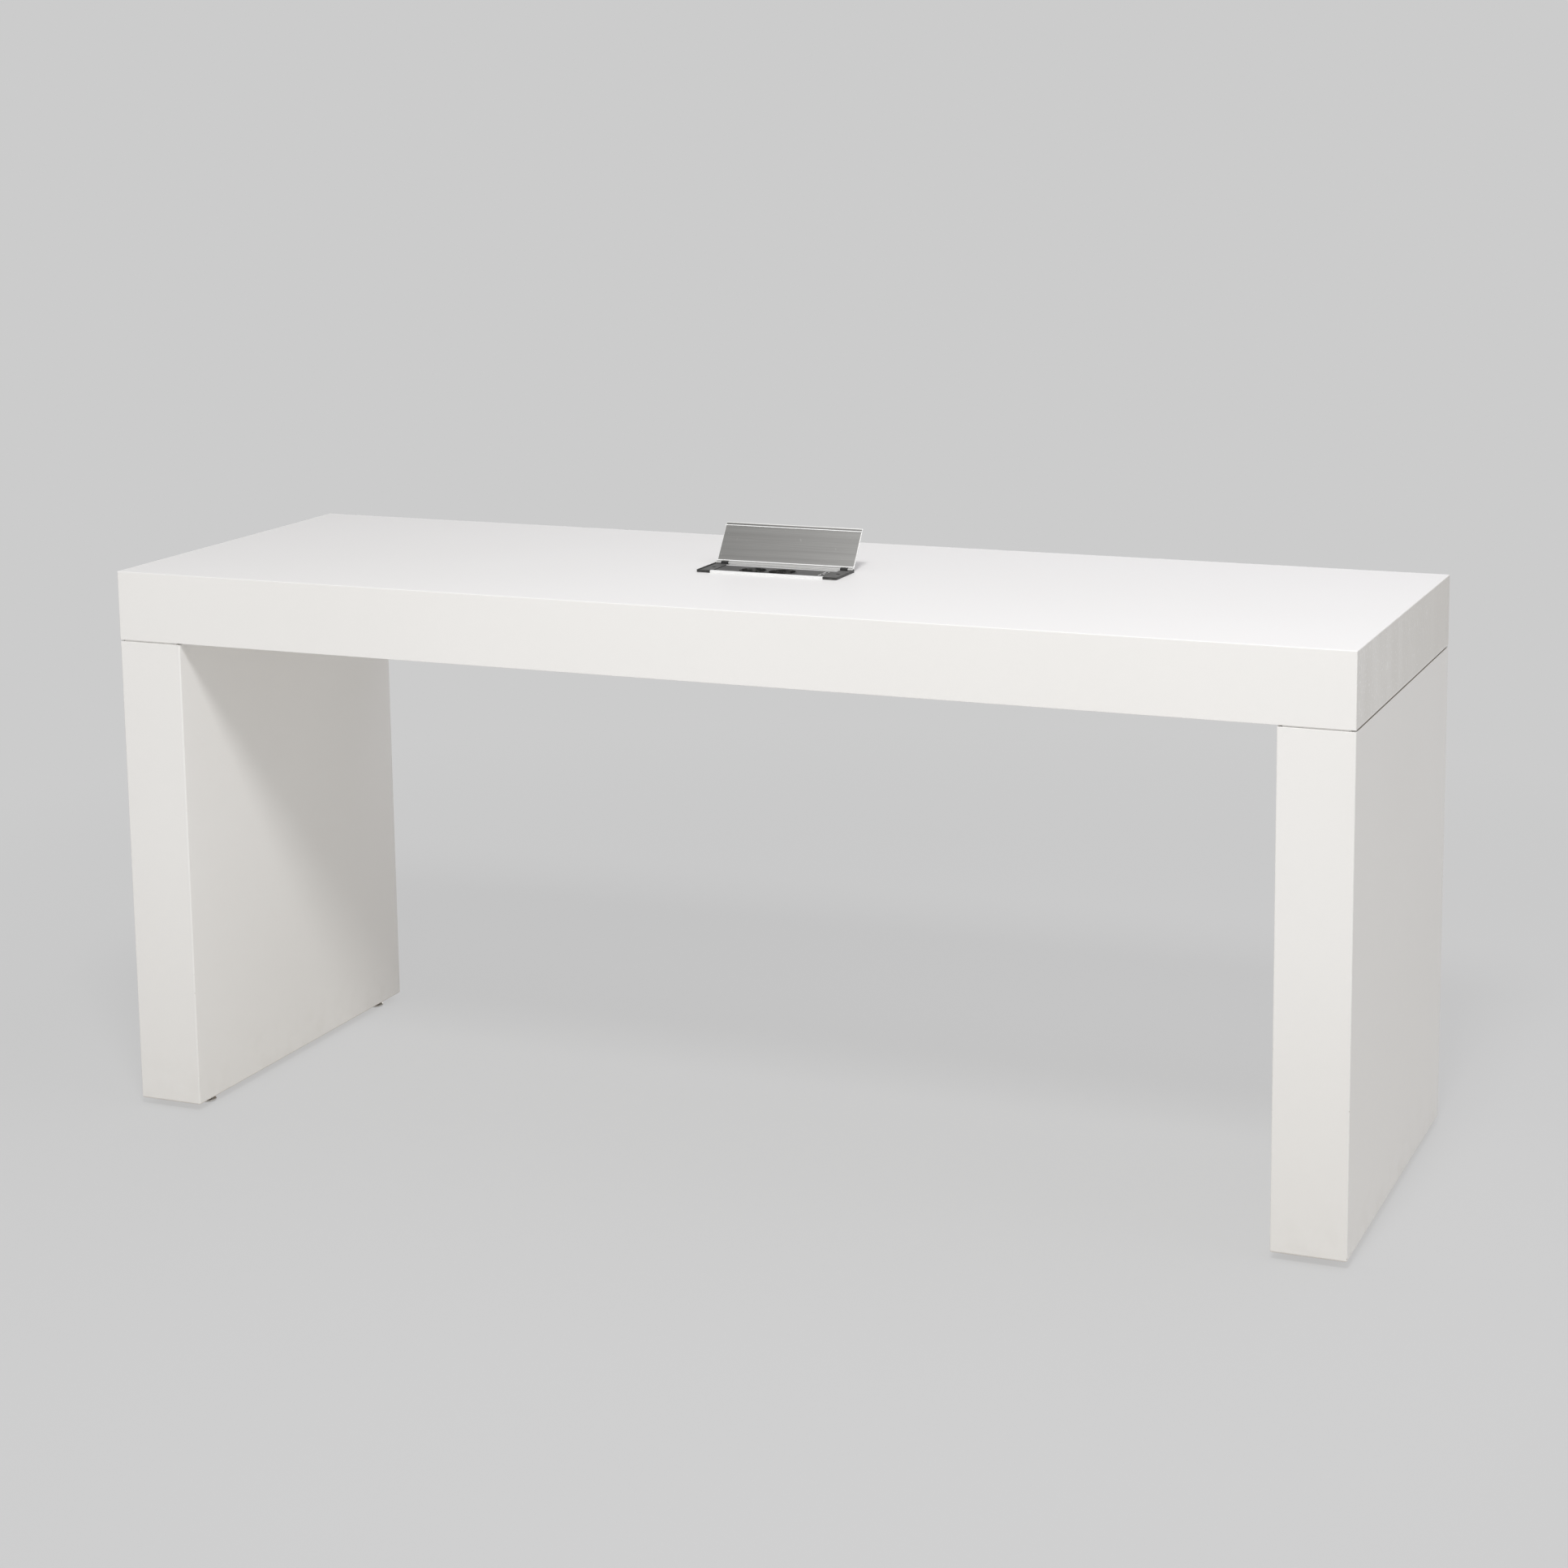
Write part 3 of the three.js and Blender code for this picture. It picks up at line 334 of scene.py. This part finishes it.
# A line of dried soil at the very bottom of the legs, and nicks down to the board on their corners
DRIED_SOIL = (0.40, 0.345, 0.265)
TIDE_FULL = 0.0008
TIDE_END = 0.0026
TIDE = 0.38
CORNER_FADE = 0.0014
CORNER_FULL = 0.0006
NICKS_FROM = 0.03
NICKS_TO = 0.40
tide_line = lacquer.remap(
    height, leg_low.z + TIDE_FULL, leg_low.z + TIDE_END, out_low=1.0, out_high=0.0,
)
tint = lacquer.blend(TIDE * tide_line, tint, DRIED_SOIL)
leg_middle = (leg_low.x + leg_high.x) / 2
leg_half = (leg_high.x - leg_low.x) / 2
leg_corner = lacquer.remap(abs(from_middle - leg_middle), leg_half - CORNER_FADE, leg_half - CORNER_FULL)
leg_corner = leg_corner * lacquer.remap(
    abs(front_to_back), leg_high.y - CORNER_FADE, leg_high.y - CORNER_FULL,
)
knocks = lacquer.spots(scale=170.0, detail=2.0, low=0.66, high=0.70)
nicks = leg_corner * knocks * lacquer.remap(height, NICKS_FROM, NICKS_TO, out_low=1.0, out_high=0.0)
tint = lacquer.blend(nicks, tint, BARE_BOARD_AND_GAP_SHADE)
lacquer.set(base_color=tint)

# The lacquer's satin sheen and its orange peel, with the marks and nicks sunk into it
SATIN = 0.42
CLOUD_ROUGHNESS = 0.10
MARK_ROUGHNESS = 0.15
WIPE_ROUGHNESS = 0.08
RELIEF = 0.0006
PEEL_HEIGHT = 0.05
MARK_DEPTH = 0.5
NICK_DEPTH = 0.3
lacquer.set(
    roughness=SATIN + CLOUD_ROUGHNESS * cloud + MARK_ROUGHNESS * marks + WIPE_ROUGHNESS * wipes,
)
orange_peel = lacquer.noise(scale=420.0, detail=2.0)
lacquer.bump(PEEL_HEIGHT * orange_peel - MARK_DEPTH * marks - NICK_DEPTH * nicks, RELIEF)

# The shell of the slab, with the cut-out that the unit's tray and end caps rest round
EDGE_RADIUS = 0.0014
GAP_RADIUS = 0.0007
EDGE_SEGMENTS = 4
GLUE_LINE = 0.0003
LIP_REST = 0.0036
CAP_REST = 0.0170
underside_low, underside_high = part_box("underside_panel")
tray_low, tray_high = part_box("power_tray")
cap_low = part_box("power_left_end_cap")[0]
cap_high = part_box("power_right_end_cap")[1]
cut_low = Vector((cap_low.x + CAP_REST, tray_low.y + LIP_REST, 0))
cut_high = Vector((cap_high.x - CAP_REST, tray_high.y - LIP_REST, 0))
cut_middle = (cut_low + cut_high) / 2

slab = plain_block(slab_low, slab_high)
recess_below(slab, underside_low.x - slab_low.x, underside_high.z - slab_low.z + GLUE_LINE)
for way in (1, -1):
    for normal in ((1, 0, 0), (0, 1, 0)):
        for corner in (cut_low, cut_high):
            flats = level_faces(slab, way)
            cut_through = set(flats)
            for face in flats:
                cut_through.update(face.edges)
                cut_through.update(face.verts)
            bmesh.ops.bisect_plane(slab, geom=list(cut_through), plane_co=corner, plane_no=normal)
holes = [
    face for face in level_faces(slab, 1) + level_faces(slab, -1)
    if (face.calc_center_median().xy - cut_middle.xy).length < TOUCHING
]
hole_edges = [edge for face in holes for edge in face.edges]
bmesh.ops.delete(slab, geom=holes, context="FACES_ONLY")
bmesh.ops.bridge_loops(slab, edges=hole_edges)
bmesh.ops.recalc_face_normals(slab, faces=slab.faces)
weigh_outer_edges(slab, slab_low, slab_high, lower=GAP_RADIUS / EDGE_RADIUS, upper=1.0)
slab_shell = piece("slab_shell", slab, [lacquer], "table", slab_boards, smooth=True)
round_edges(slab_shell, EDGE_RADIUS, EDGE_SEGMENTS, "WEIGHT")
refinish(["underside_panel"], lacquer)

# Legs: two hollow boxes of the same fibreboard, glued up from four mitred boards and lacquered
# with the slab. Their edges are rounded over a little more, except at the gap under the slab,
# and the bottom has a recess for the rail that takes the feet.

LEG_RADIUS = 0.0021
for hand in HANDS:
    low, high = reach(leg_boards[hand])
    leg = plain_block(low, high)
    rail_low, rail_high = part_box(f"{hand}_leg_bottom_rail")
    recess_below(leg, rail_low.x - low.x, rail_high.z - low.z + GLUE_LINE)
    bmesh.ops.recalc_face_normals(leg, faces=leg.faces)
    weigh_outer_edges(leg, low, high, lower=1.0, upper=GAP_RADIUS / LEG_RADIUS)
    leg_shell = piece(
        f"{hand}_leg_shell", leg, [lacquer], "table", leg_boards[hand], smooth=True,
    )
    round_edges(leg_shell, LEG_RADIUS, EDGE_SEGMENTS, "WEIGHT")

# Inner timber: bearers, ribs and leg rails are plain sawn fibreboard. They are glued inside the
# boxes, and only the leg's bottom rail shows, from below.

SPECKLE_SHARE = 0.6
fibreboard = Finish(bpy.data.materials.new("raw_fibreboard"))
speckle = fibreboard.noise(scale=900.0, detail=4.0)
fibre = fibreboard.noise(scale=160.0, detail=6.0, stretch=(1.0, 0.2, 1.0))
fibreboard.set(base_color=fibreboard.ramp(
    SPECKLE_SHARE * speckle + (1 - SPECKLE_SHARE) * fibre,
    [(0.3, (0.30, 0.21, 0.12)), (0.55, (0.42, 0.31, 0.19)), (0.75, (0.52, 0.40, 0.26))],
))
fibreboard.set(roughness=0.82)
fibreboard.bump(speckle, distance=0.0002, strength=0.4)
refinish(["left_bearer", "right_bearer", "left_rib", "right_rib"], fibreboard)
for hand in HANDS:
    refinish([f"{hand}_leg_top_rail", f"{hand}_leg_bottom_rail"], fibreboard)

# Shadow spacers: thin dark plastic sheet between each leg and the slab, set back from the edges
# so that only a line shows. At the front and rear it comes nearer to the face, and there its ends
# carry painted light in white, which lightens the gap.

MERGE_DISTANCE = 1e-6
SAME_PLANE = math.radians(1.0)


def merged_copy(node):
    merged = bmesh.new()
    merged.from_mesh(frame["nodes"][node].data)
    bmesh.ops.remove_doubles(merged, verts=merged.verts, dist=MERGE_DISTANCE)
    bmesh.ops.dissolve_limit(merged, angle_limit=SAME_PLANE, verts=merged.verts, edges=merged.edges)
    return merged


FRONT_SETBACK = 0.0026
GAP_LIGHT_FULL = 0.0030
GAP_LIGHT_END = 0.0090
sheet_end = leg_high.y - FRONT_SETBACK
spacer = Finish(bpy.data.materials.new("dark_spacer_sheet"))
mottle = spacer.noise(scale=220.0, detail=3.0)
sheet = spacer.shades(mottle, dark=(0.050, 0.042, 0.035), pale=(0.085, 0.072, 0.060))
# Painted light: white on the sheet's ends lightens the front and rear gaps
painted_gap_light = spacer.remap(abs(spacer.along("Y")), sheet_end - GAP_LIGHT_END, sheet_end - GAP_LIGHT_FULL)
spacer.set(base_color=spacer.blend(painted_gap_light, sheet, WHITE))
spacer.set(roughness=0.85)
for hand in HANDS:
    cut_sheet = merged_copy(f"{hand}_shadow_spacer")
    for way in (1, -1):
        end = [vert for vert in cut_sheet.verts if vert.co.y * way > spacer_high.y - TOUCHING]
        bmesh.ops.translate(cut_sheet, vec=(0, way * (sheet_end - spacer_high.y), 0), verts=end)
    piece(
        f"{hand}_spacer_sheet", cut_sheet, [spacer], "table", (f"{hand}_shadow_spacer",),
    )

# Fasteners: tie bolts, foot inserts and hinge pins are zinc-plated steel. The bolts draw each
# leg up to the slab from a counterbore, and the inserts are driven into the rail.

zinc = Finish(bpy.data.materials.new("zinc_plated_steel"))
plating = zinc.noise(scale=240.0, detail=4.0)
zinc.set(base_color=zinc.shades(plating, dark=(0.52, 0.53, 0.55), pale=(0.66, 0.67, 0.68)))
zinc.set(metallic=1.0)
zinc.roughen(plating, least=0.28, most=0.46)
corners = [(hand, end) for hand in HANDS for end in ("front", "rear")]
feet = [(hand, f"{hand}_{end}_{row}_foot") for hand, end in corners for row in ("inner", "outer")]
refinish([f"{hand}_{end}_tie_bolt" for hand, end in corners], zinc)
refinish([f"{node}_insert" for hand, node in feet], zinc)
refinish(["left_hinge_pin", "right_hinge_pin"], zinc)

# Levelling feet: turned steel discs with nickel plating, on threaded stems, four under each leg.
# The disc has an elliptical rim, set out to a tenth of a millimetre, and a shallow cone up to the
# collar that it is turned by.

nickel = Finish(bpy.data.materials.new("dark_nickel_plate"))
turning = nickel.noise(scale=60.0, detail=3.0, stretch=(1.0, 1.0, 40.0))
nickel.set(base_color=nickel.shades(turning, dark=(0.58, 0.57, 0.55), pale=(0.72, 0.71, 0.69)))
nickel.set(metallic=1.0)
nickel.roughen(turning, least=0.34, most=0.54)
RIM_WIDTH = 0.0022
RIM_HEIGHT = 0.0018
RIM_ANGLES = [math.radians(angle) for angle in (-90, -54, -25, 0, 30, 59)]
RIM_DECIMALS = 4
COLLAR_RADIUS = 0.0065
CONE_TOP = 0.0060
CONE_OUTSET = 0.0007
EASED_TOP = 0.0066
EASED_OUTSET = 0.0001
STEM_RADIUS = 0.0040
STEM_CHAMFER = 0.0008
THREAD_PITCH = 0.00125
THREAD_DEPTH = 0.0006
FOOT_SIDES = 64
for hand, node in feet:
    low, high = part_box(node)
    disc = (high.x - low.x) / 2
    tall = high.z - low.z
    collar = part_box(f"{hand}_leg_bottom_rail")[0].z - low.z - GLUE_LINE
    turns = int((tall - STEM_CHAMFER - collar) / THREAD_PITCH) - 1
    profile = [(0.0, 0.0)]
    for angle in RIM_ANGLES:
        inset = round(RIM_WIDTH * (1 - math.cos(angle)), RIM_DECIMALS)
        rise = round(RIM_HEIGHT * (1 + math.sin(angle)), RIM_DECIMALS)
        profile.append((disc - inset, rise))
    profile.append((COLLAR_RADIUS + CONE_OUTSET, CONE_TOP))
    profile.append((COLLAR_RADIUS + EASED_OUTSET, EASED_TOP))
    profile.append((COLLAR_RADIUS, collar))
    for turn in range(turns):
        root = collar + turn * THREAD_PITCH
        profile.append((STEM_RADIUS - THREAD_DEPTH, root))
        profile.append((STEM_RADIUS, root + THREAD_PITCH / 2))
    profile.append((STEM_RADIUS - THREAD_DEPTH, tall - STEM_CHAMFER))
    profile.append((STEM_RADIUS - STEM_CHAMFER, tall))
    profile.append((0.0, tall))
    foot = bmesh.new()
    points = [foot.verts.new((radius, 0.0, up)) for radius, up in profile]
    lines = [foot.edges.new(pair) for pair in zip(points, points[1:])]
    bmesh.ops.spin(
        foot, geom=points + lines, cent=(0, 0, 0), axis=(0, 0, 1), dvec=(0, 0, 0),
        angle=2 * math.pi, steps=FOOT_SIDES, use_merge=True, use_duplicate=False,
    )
    bmesh.ops.remove_doubles(foot, verts=foot.verts, dist=MERGE_DISTANCE)
    bmesh.ops.recalc_face_normals(foot, faces=foot.faces)
    centre = Vector(((low.x + high.x) / 2, (low.y + high.y) / 2, low.z))
    bmesh.ops.translate(foot, vec=centre, verts=foot.verts)
    piece(f"{node}_turned", foot, [nickel], f"{node}_body", (node,), smooth=True)

# Power unit tray: one aluminium extrusion, cut to length and bright anodised. Its front lip
# and rear rail stand above the table top and its trough hangs through the cut-out.


def eased_copy(name, node, finishes, body, width, segments=2, zone=None):
    merged = merged_copy(node)
    for face in merged.faces:
        face.material_index = zone(face) if zone else 0
    made = piece(name, merged, finishes, body, (node,), smooth=True)
    round_edges(made, width, segments, "ANGLE")


bright = Finish(bpy.data.materials.new("bright_aluminium_and_rib_highlight"))
drawn = bright.noise(scale=30.0, detail=4.0, stretch=(0.6, 60.0, 60.0))
bright.set(base_color=bright.shades(drawn, dark=(0.93, 0.93, 0.92), pale=(0.965, 0.965, 0.955)))
bright.set(metallic=0.55)
bright.roughen(drawn, least=0.46, most=0.60)
eased_copy("tray_extrusion", "power_tray", [bright], "table", width=0.0003)

# End caps: dark grey moulded plastic with a fine matt grain, with painted light that makes the grey
# paler towards the right. Each closes an end of the tray, is held by a blackened screw and carries
# one hinge lug. Its sides and lug are smoother and carry painted shade that makes them darker, with
# a band of painted highlight round the nose.

hinge = next(joint for joint in frame["record"]["behaviour"]["joints"] if joint["name"] == "lid_hinge")
pivot = Vector(hinge["pos_m"])
LUG_REACH = 0.0030
LUG_ABOVE = 0.0016
NOSE_HIGHLIGHT_HEIGHT = 0.0018
NOSE_HIGHLIGHT_HALF = 0.0004
NOSE_HIGHLIGHT_FADE = 0.0008
CAP_SIDE_SHADE = (0.018, 0.018, 0.017)
NOSE_HIGHLIGHT_GREY = (0.095, 0.094, 0.090)
grey = Finish(bpy.data.materials.new("dark_grey_moulded_plastic"))
grain = grey.noise(scale=2600.0, detail=2.0)
shade = grey.noise(scale=90.0, detail=3.0)
plain_grey = grey.shades(shade, dark=(0.062, 0.062, 0.060), pale=(0.080, 0.079, 0.076))
painted_lit_grey = grey.shades(shade, dark=(0.098, 0.097, 0.094), pale=(0.122, 0.121, 0.117))
# Painted light: the grey grows paler towards the right
painted_light_share = grey.remap(grey.along("X"), cap_low.x, cap_high.x)
grey.set(base_color=grey.blend(painted_light_share, plain_grey, painted_lit_grey))
grey.roughen(grain, least=0.44, most=0.58)
grey.bump(grain, distance=0.00006, strength=0.5)
# Painted shade: the caps' sides and lugs take a darker grey, with a patchy band of painted highlight
# round the nose
cap_side = Finish(bpy.data.materials.new("smooth_cap_sides"))
above_top = cap_side.along("Z") - slab_high.z
nose_highlight = cap_side.remap(
    abs(above_top - NOSE_HIGHLIGHT_HEIGHT), NOSE_HIGHLIGHT_HALF, NOSE_HIGHLIGHT_FADE, out_low=1.0, out_high=0.0,
)
patches = cap_side.spots(scale=240.0, detail=3.0, low=0.40, high=0.62)
cap_side.set(base_color=cap_side.blend(nose_highlight * patches, CAP_SIDE_SHADE, NOSE_HIGHLIGHT_GREY))
cap_side.roughen(patches, least=0.42, most=0.54)


def top_or_side(face):
    centre = face.calc_center_median()
    lug = centre.y > pivot.y - LUG_REACH and centre.z > slab_high.z + LUG_ABOVE
    return 1 if lug or face.normal.z < 1 - FLAT else 0


for hand in HANDS:
    eased_copy(
        f"{hand}_cap_moulding", f"power_{hand}_end_cap", [grey, cap_side], "table",
        width=0.0004, segments=3, zone=top_or_side,
    )
blackened = Finish(bpy.data.materials.new("blackened_steel"))
oxide = blackened.noise(scale=900.0, detail=3.0)
blackened.set(base_color=blackened.shades(oxide, dark=(0.020, 0.020, 0.021), pale=(0.045, 0.045, 0.046)))
blackened.set(metallic=0.6)
blackened.roughen(oxide, least=0.34, most=0.54)
refinish(["left_cap_screw", "right_cap_screw"], blackened)

# Face plate: a flat plastic plate in the same grey that drops on the tray's ledges, with round
# holes for the sockets and a slot for the charger.

eased_copy("face_plate_moulding", "power_face_plate", [grey], "table", width=0.0002)

# Sockets: two round wells in near-black plastic that hang by their rims in the plate, each with
# two pin holes and a brass earth strap that springs in at both sides.

DUST_GREY = (0.16, 0.158, 0.15)
DUSTING = 0.6
GLOSS = 0.20
FINE_ROUGHNESS = 0.10
DUST_ROUGHNESS = 0.25
black = Finish(bpy.data.materials.new("satin_black_plastic"))
fine = black.noise(scale=1800.0, detail=2.0)
dust = black.spots(scale=110.0, detail=2.0, low=0.48, high=0.62)
plain_black = black.shades(fine, dark=(0.034, 0.034, 0.033), pale=(0.048, 0.048, 0.046))
black.set(base_color=black.blend(DUSTING * dust, plain_black, DUST_GREY))
black.set(roughness=GLOSS + FINE_ROUGHNESS * fine + DUST_ROUGHNESS * dust)
black.bump(fine, distance=0.00001, strength=0.2)
brass = Finish(bpy.data.materials.new("spring_brass"))
tarnish = brass.noise(scale=300.0, detail=4.0)
brass.set(base_color=brass.shades(tarnish, dark=(0.50, 0.42, 0.24), pale=(0.66, 0.57, 0.36)))
brass.set(metallic=1.0)
brass.roughen(tarnish, least=0.26, most=0.46)
for hand in HANDS:
    eased_copy(
        f"{hand}_socket_moulding", f"{hand}_socket_well", [black], "table", width=0.0003,
    )
    eased_copy(
        f"{hand}_earth_clip", f"{hand}_earth_strap", [brass], "table", width=0.0001,
    )

# Charger and inlet: black plastic blocks. The charger's face is flush with the plate, and its two
# ports have tin-plated steel shells whose rims stand just proud of it. The inlet faces down under
# the tray.

PORT_HALF = 0.0026
PORT_WALL = 0.0006
RIM_PROUD = 0.0001
tin = Finish(bpy.data.materials.new("tin_plated_shell"))
tinning = tin.noise(scale=700.0, detail=3.0)
tin.set(base_color=tin.shades(tinning, dark=(0.90, 0.90, 0.88), pale=(0.96, 0.96, 0.94)))
tin.set(metallic=0.2)
tin.roughen(tinning, least=0.30, most=0.50)
charger_low, charger_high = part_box("charger_block")
charger_middle = (charger_low.x + charger_high.x) / 2
plate_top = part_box("power_face_plate")[1].z


def shell_or_block(face):
    centre = face.calc_center_median()
    rim = face.normal.z > FLAT and centre.z > plate_top + RIM_PROUD
    wall = face.normal.x > FLAT and abs(abs(centre.x - charger_middle) - PORT_HALF) < PORT_WALL
    return 1 if rim or wall else 0


eased_copy(
    "charger_moulding", "charger_block", [black, tin], "table",
    width=0.0001, segments=1, zone=shell_or_block,
)
eased_copy("inlet_moulding", "power_inlet", [black], "table", width=0.0003)

# Lid: one aluminium extrusion, brushed along its length on the inner face, with a rib near each
# long edge that takes the pale tray finish as painted highlight, and a barrel that turns on two
# steel pins. The strip between barrel and lower rib has fine lines along it.

LEAN = math.radians(35)
INNER_FACE = 0.0007
LEAF = 0.0038
FRONT_RIB = 0.0612
EDGE_BAND = 0.0643
LINE_PITCH = 0.0009
LINE_FADE = 0.0002
BAND_FADE = 0.0004
END_BAND = 0.0010
END_BAND_FULL = 0.0005
SMEARED = (0.60, 0.595, 0.58)
SHADED_LIP = (0.12, 0.115, 0.108)
EDGE_HIGHLIGHT = (0.93, 0.925, 0.91)
SMEARING = 0.4
LIP_SHADING = 0.35
HAIR_SHARE = 0.5
STREAK_SHARE = 0.3
RIGHTWARD_SHARE = 0.2
lid_low, lid_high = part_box("power_lid")


def bright_or_brushed(face):
    centre = face.calc_center_median() - pivot
    across = centre.y * math.cos(LEAN) - centre.z * math.sin(LEAN)
    up = centre.y * math.sin(LEAN) + centre.z * math.cos(LEAN)
    # Painted highlight: the ribs take the pale tray finish
    rib = across < INNER_FACE - TOUCHING and up > LEAF - TOUCHING
    return 1 if rib or abs(face.normal.x) > FLAT else 0


brushed = Finish(bpy.data.materials.new("brushed_anodised_aluminium"))
behind_pivot = brushed.along("Y") - pivot.y
above_pivot = brushed.along("Z") - pivot.z
up_lid = math.sin(LEAN) * behind_pivot + math.cos(LEAN) * above_pivot
hairs = brushed.noise(scale=20.0, detail=6.0, stretch=(0.4, 150.0, 150.0))
drag = brushed.noise(scale=5.0, detail=3.0, stretch=(0.35, 24.0, 24.0))
# The panel grows paler towards the right end
paler_rightward = brushed.remap(brushed.along("X"), lid_low.x, lid_high.x)
panel = brushed.ramp(
    HAIR_SHARE * hairs + STREAK_SHARE * drag + RIGHTWARD_SHARE * paler_rightward,
    [(0.30, (0.27, 0.267, 0.258)), (0.50, (0.335, 0.331, 0.321)), (0.70, (0.41, 0.405, 0.394))],
)
smears = brushed.spots(scale=150.0, detail=2.0, low=0.70, high=0.80)
panel = brushed.blend(SMEARING * smears, panel, SMEARED)
fine_lines = 0.5 + 0.5 * (up_lid * (2 * math.pi / LINE_PITCH)).sine()
strip = brushed.ramp(fine_lines, [(0.2, (0.55, 0.545, 0.535)), (0.8, (0.76, 0.755, 0.74))])
on_strip = brushed.remap(up_lid, LEAF - LINE_FADE, LEAF, out_low=1.0, out_high=0.0)
panel = brushed.blend(on_strip, panel, strip)
on_lip = brushed.remap(up_lid, FRONT_RIB, FRONT_RIB + LINE_FADE)
panel = brushed.blend(LIP_SHADING * on_lip, panel, SHADED_LIP)
# Painted highlight along the lid's free edge and near its ends
on_edge = brushed.remap(up_lid, EDGE_BAND, EDGE_BAND + BAND_FADE)
on_end = brushed.remap(abs(brushed.along("X")), lid_high.x - END_BAND, lid_high.x - END_BAND_FULL)
panel = brushed.blend(brushed.remap(on_edge + on_end, 0.0, 1.0), panel, EDGE_HIGHLIGHT)
brushed.set(base_color=panel)
brushed.set(metallic=1.0)
brushed.roughen(hairs, least=0.36, most=0.50)
brushed.bump(hairs, distance=0.00004, strength=0.25)
eased_copy(
    "lid_extrusion", "power_lid", [brushed, bright], "lid",
    width=0.0002, zone=bright_or_brushed,
)

# Studio: a pale grey floor and backdrop of one tone, a soft box in front, above and to the
# right, weaker ones above and at the right, two low ones at the left that light only the upright
# faces, and a dim even fill.

BACKDROP = 0.604
FLOOR_TONE = (0.505, 0.495, 0.478)
FLOOR_GLOW = (0.256, 0.251, 0.242)
SHADOW_TONE = (0.68, 0.68, 0.68)
SHADOW_SHARE = 0.22
SHADOW_NEAR = 1.3
SHADOW_FAR = 2.6
FILL = 0.425
NEUTRAL = (1.0, 1.0, 1.0)


def seen_ray(finish):
    camera_ray = finish.node("ShaderNodeLightPath", {}, {}, "Is Camera Ray")
    glossy_ray = finish.node("ShaderNodeLightPath", {}, {}, "Is Glossy Ray")
    return camera_ray + glossy_ray


floor_finish = Finish(bpy.data.materials.new("studio_floor"))
floor_finish.tree.nodes.remove(floor_finish.shader)
paper = floor_finish.node("ShaderNodeBsdfDiffuse", {}, {"Color": FLOOR_TONE})
glow = floor_finish.node("ShaderNodeEmission", {}, {"Color": FLOOR_GLOW})
lit_floor = floor_finish.node("ShaderNodeAddShader", {}, {0: paper, 1: glow})
tone = floor_finish.node("ShaderNodeEmission", {}, {"Strength": BACKDROP})
shaded = floor_finish.node("ShaderNodeBsdfDiffuse", {}, {"Color": SHADOW_TONE})
on_floor = floor_finish.place(stretch=(1.0, 1.0, 0.0))
away = floor_finish.node("ShaderNodeVectorMath", {"operation": "LENGTH"}, {0: on_floor}, "Value")
share = SHADOW_SHARE * floor_finish.remap(away, SHADOW_NEAR, SHADOW_FAR, out_low=1.0, out_high=0.0)
seen_floor = floor_finish.node("ShaderNodeMixShader", {}, {0: share, 1: tone, 2: shaded})
seen = seen_ray(floor_finish)
surface = floor_finish.node("ShaderNodeMixShader", {}, {0: seen, 1: lit_floor, 2: seen_floor})
floor_finish.feed(floor_finish.tree.nodes["Material Output"].inputs["Surface"], surface)

FLOOR_SIZE = 40.0
FLOOR_DROP = 0.0005
floor = bmesh.new()
bmesh.ops.create_grid(floor, x_segments=1, y_segments=1, size=FLOOR_SIZE)
floor_mesh = bpy.data.meshes.new("studio_floor")
floor.to_mesh(floor_mesh)
floor.free()
floor_mesh.materials.append(floor_finish.owner)
floor_object = bpy.data.objects.new("studio_floor", floor_mesh)
bpy.context.scene.collection.objects.link(floor_object)
floor_object.location.z = -FLOOR_DROP

world = Finish(bpy.data.worlds.new("studio"))
bpy.context.scene.world = world.owner
world.tree.nodes.remove(world.tree.nodes["Background"])
fill = world.node("ShaderNodeBackground", {}, {"Color": NEUTRAL, "Strength": FILL})
wall = world.node("ShaderNodeBackground", {}, {"Color": NEUTRAL, "Strength": BACKDROP})
surround = world.node("ShaderNodeMixShader", {}, {0: seen_ray(world), 1: fill, 2: wall})
world.feed(world.tree.nodes["World Output"].inputs["Surface"], surround)

AIM = Vector((0.0, 0.0, 0.6))


def soft_box(name, place, size, power, colour=NEUTRAL):
    light = bpy.data.lights.new(name, "AREA")
    light.color = colour
    light.shape = "RECTANGLE"
    light.size, light.size_y = size
    light.energy = power
    made = bpy.data.objects.new(name, light)
    bpy.context.scene.collection.objects.link(made)
    made.location = place
    made.rotation_euler = (AIM - Vector(place)).to_track_quat("-Z", "Y").to_euler()


COOL = (0.90, 0.88, 1.0)
soft_box("key_soft_box", place=(0.961, -2.641, 3.871), size=(0.8, 0.8), power=102.5)
soft_box("top_soft_box", place=(1.2, 0.4, 3.2), size=(2.2, 1.6), power=15.0, colour=COOL)
soft_box("right_soft_box", place=(4.0, -0.8, 1.6), size=(2.0, 2.0), power=12.5)
soft_box("left_front_soft_box", place=(-2.6, -3.2, 0.45), size=(2.6, 0.7), power=9.4)
soft_box("left_rear_soft_box", place=(-2.0, 3.6, 0.45), size=(1.6, 0.7), power=16.0)

camera = bpy.data.cameras.new("photo_camera")
camera.sensor_width = 36.0
camera.lens = 71.104
camera.shift_x = -0.0487
camera.shift_y = -0.148
camera_object = bpy.data.objects.new("photo_camera", camera)
bpy.context.scene.collection.objects.link(camera_object)
camera_object.location = (1.7105, -3.9616, 1.5366)
camera_object.rotation_euler = [math.radians(angle) for angle in (80.6409, 0.5033, 21.6444)]
bpy.context.scene.camera = camera_object
bpy.context.scene.view_settings.view_transform = "Standard"
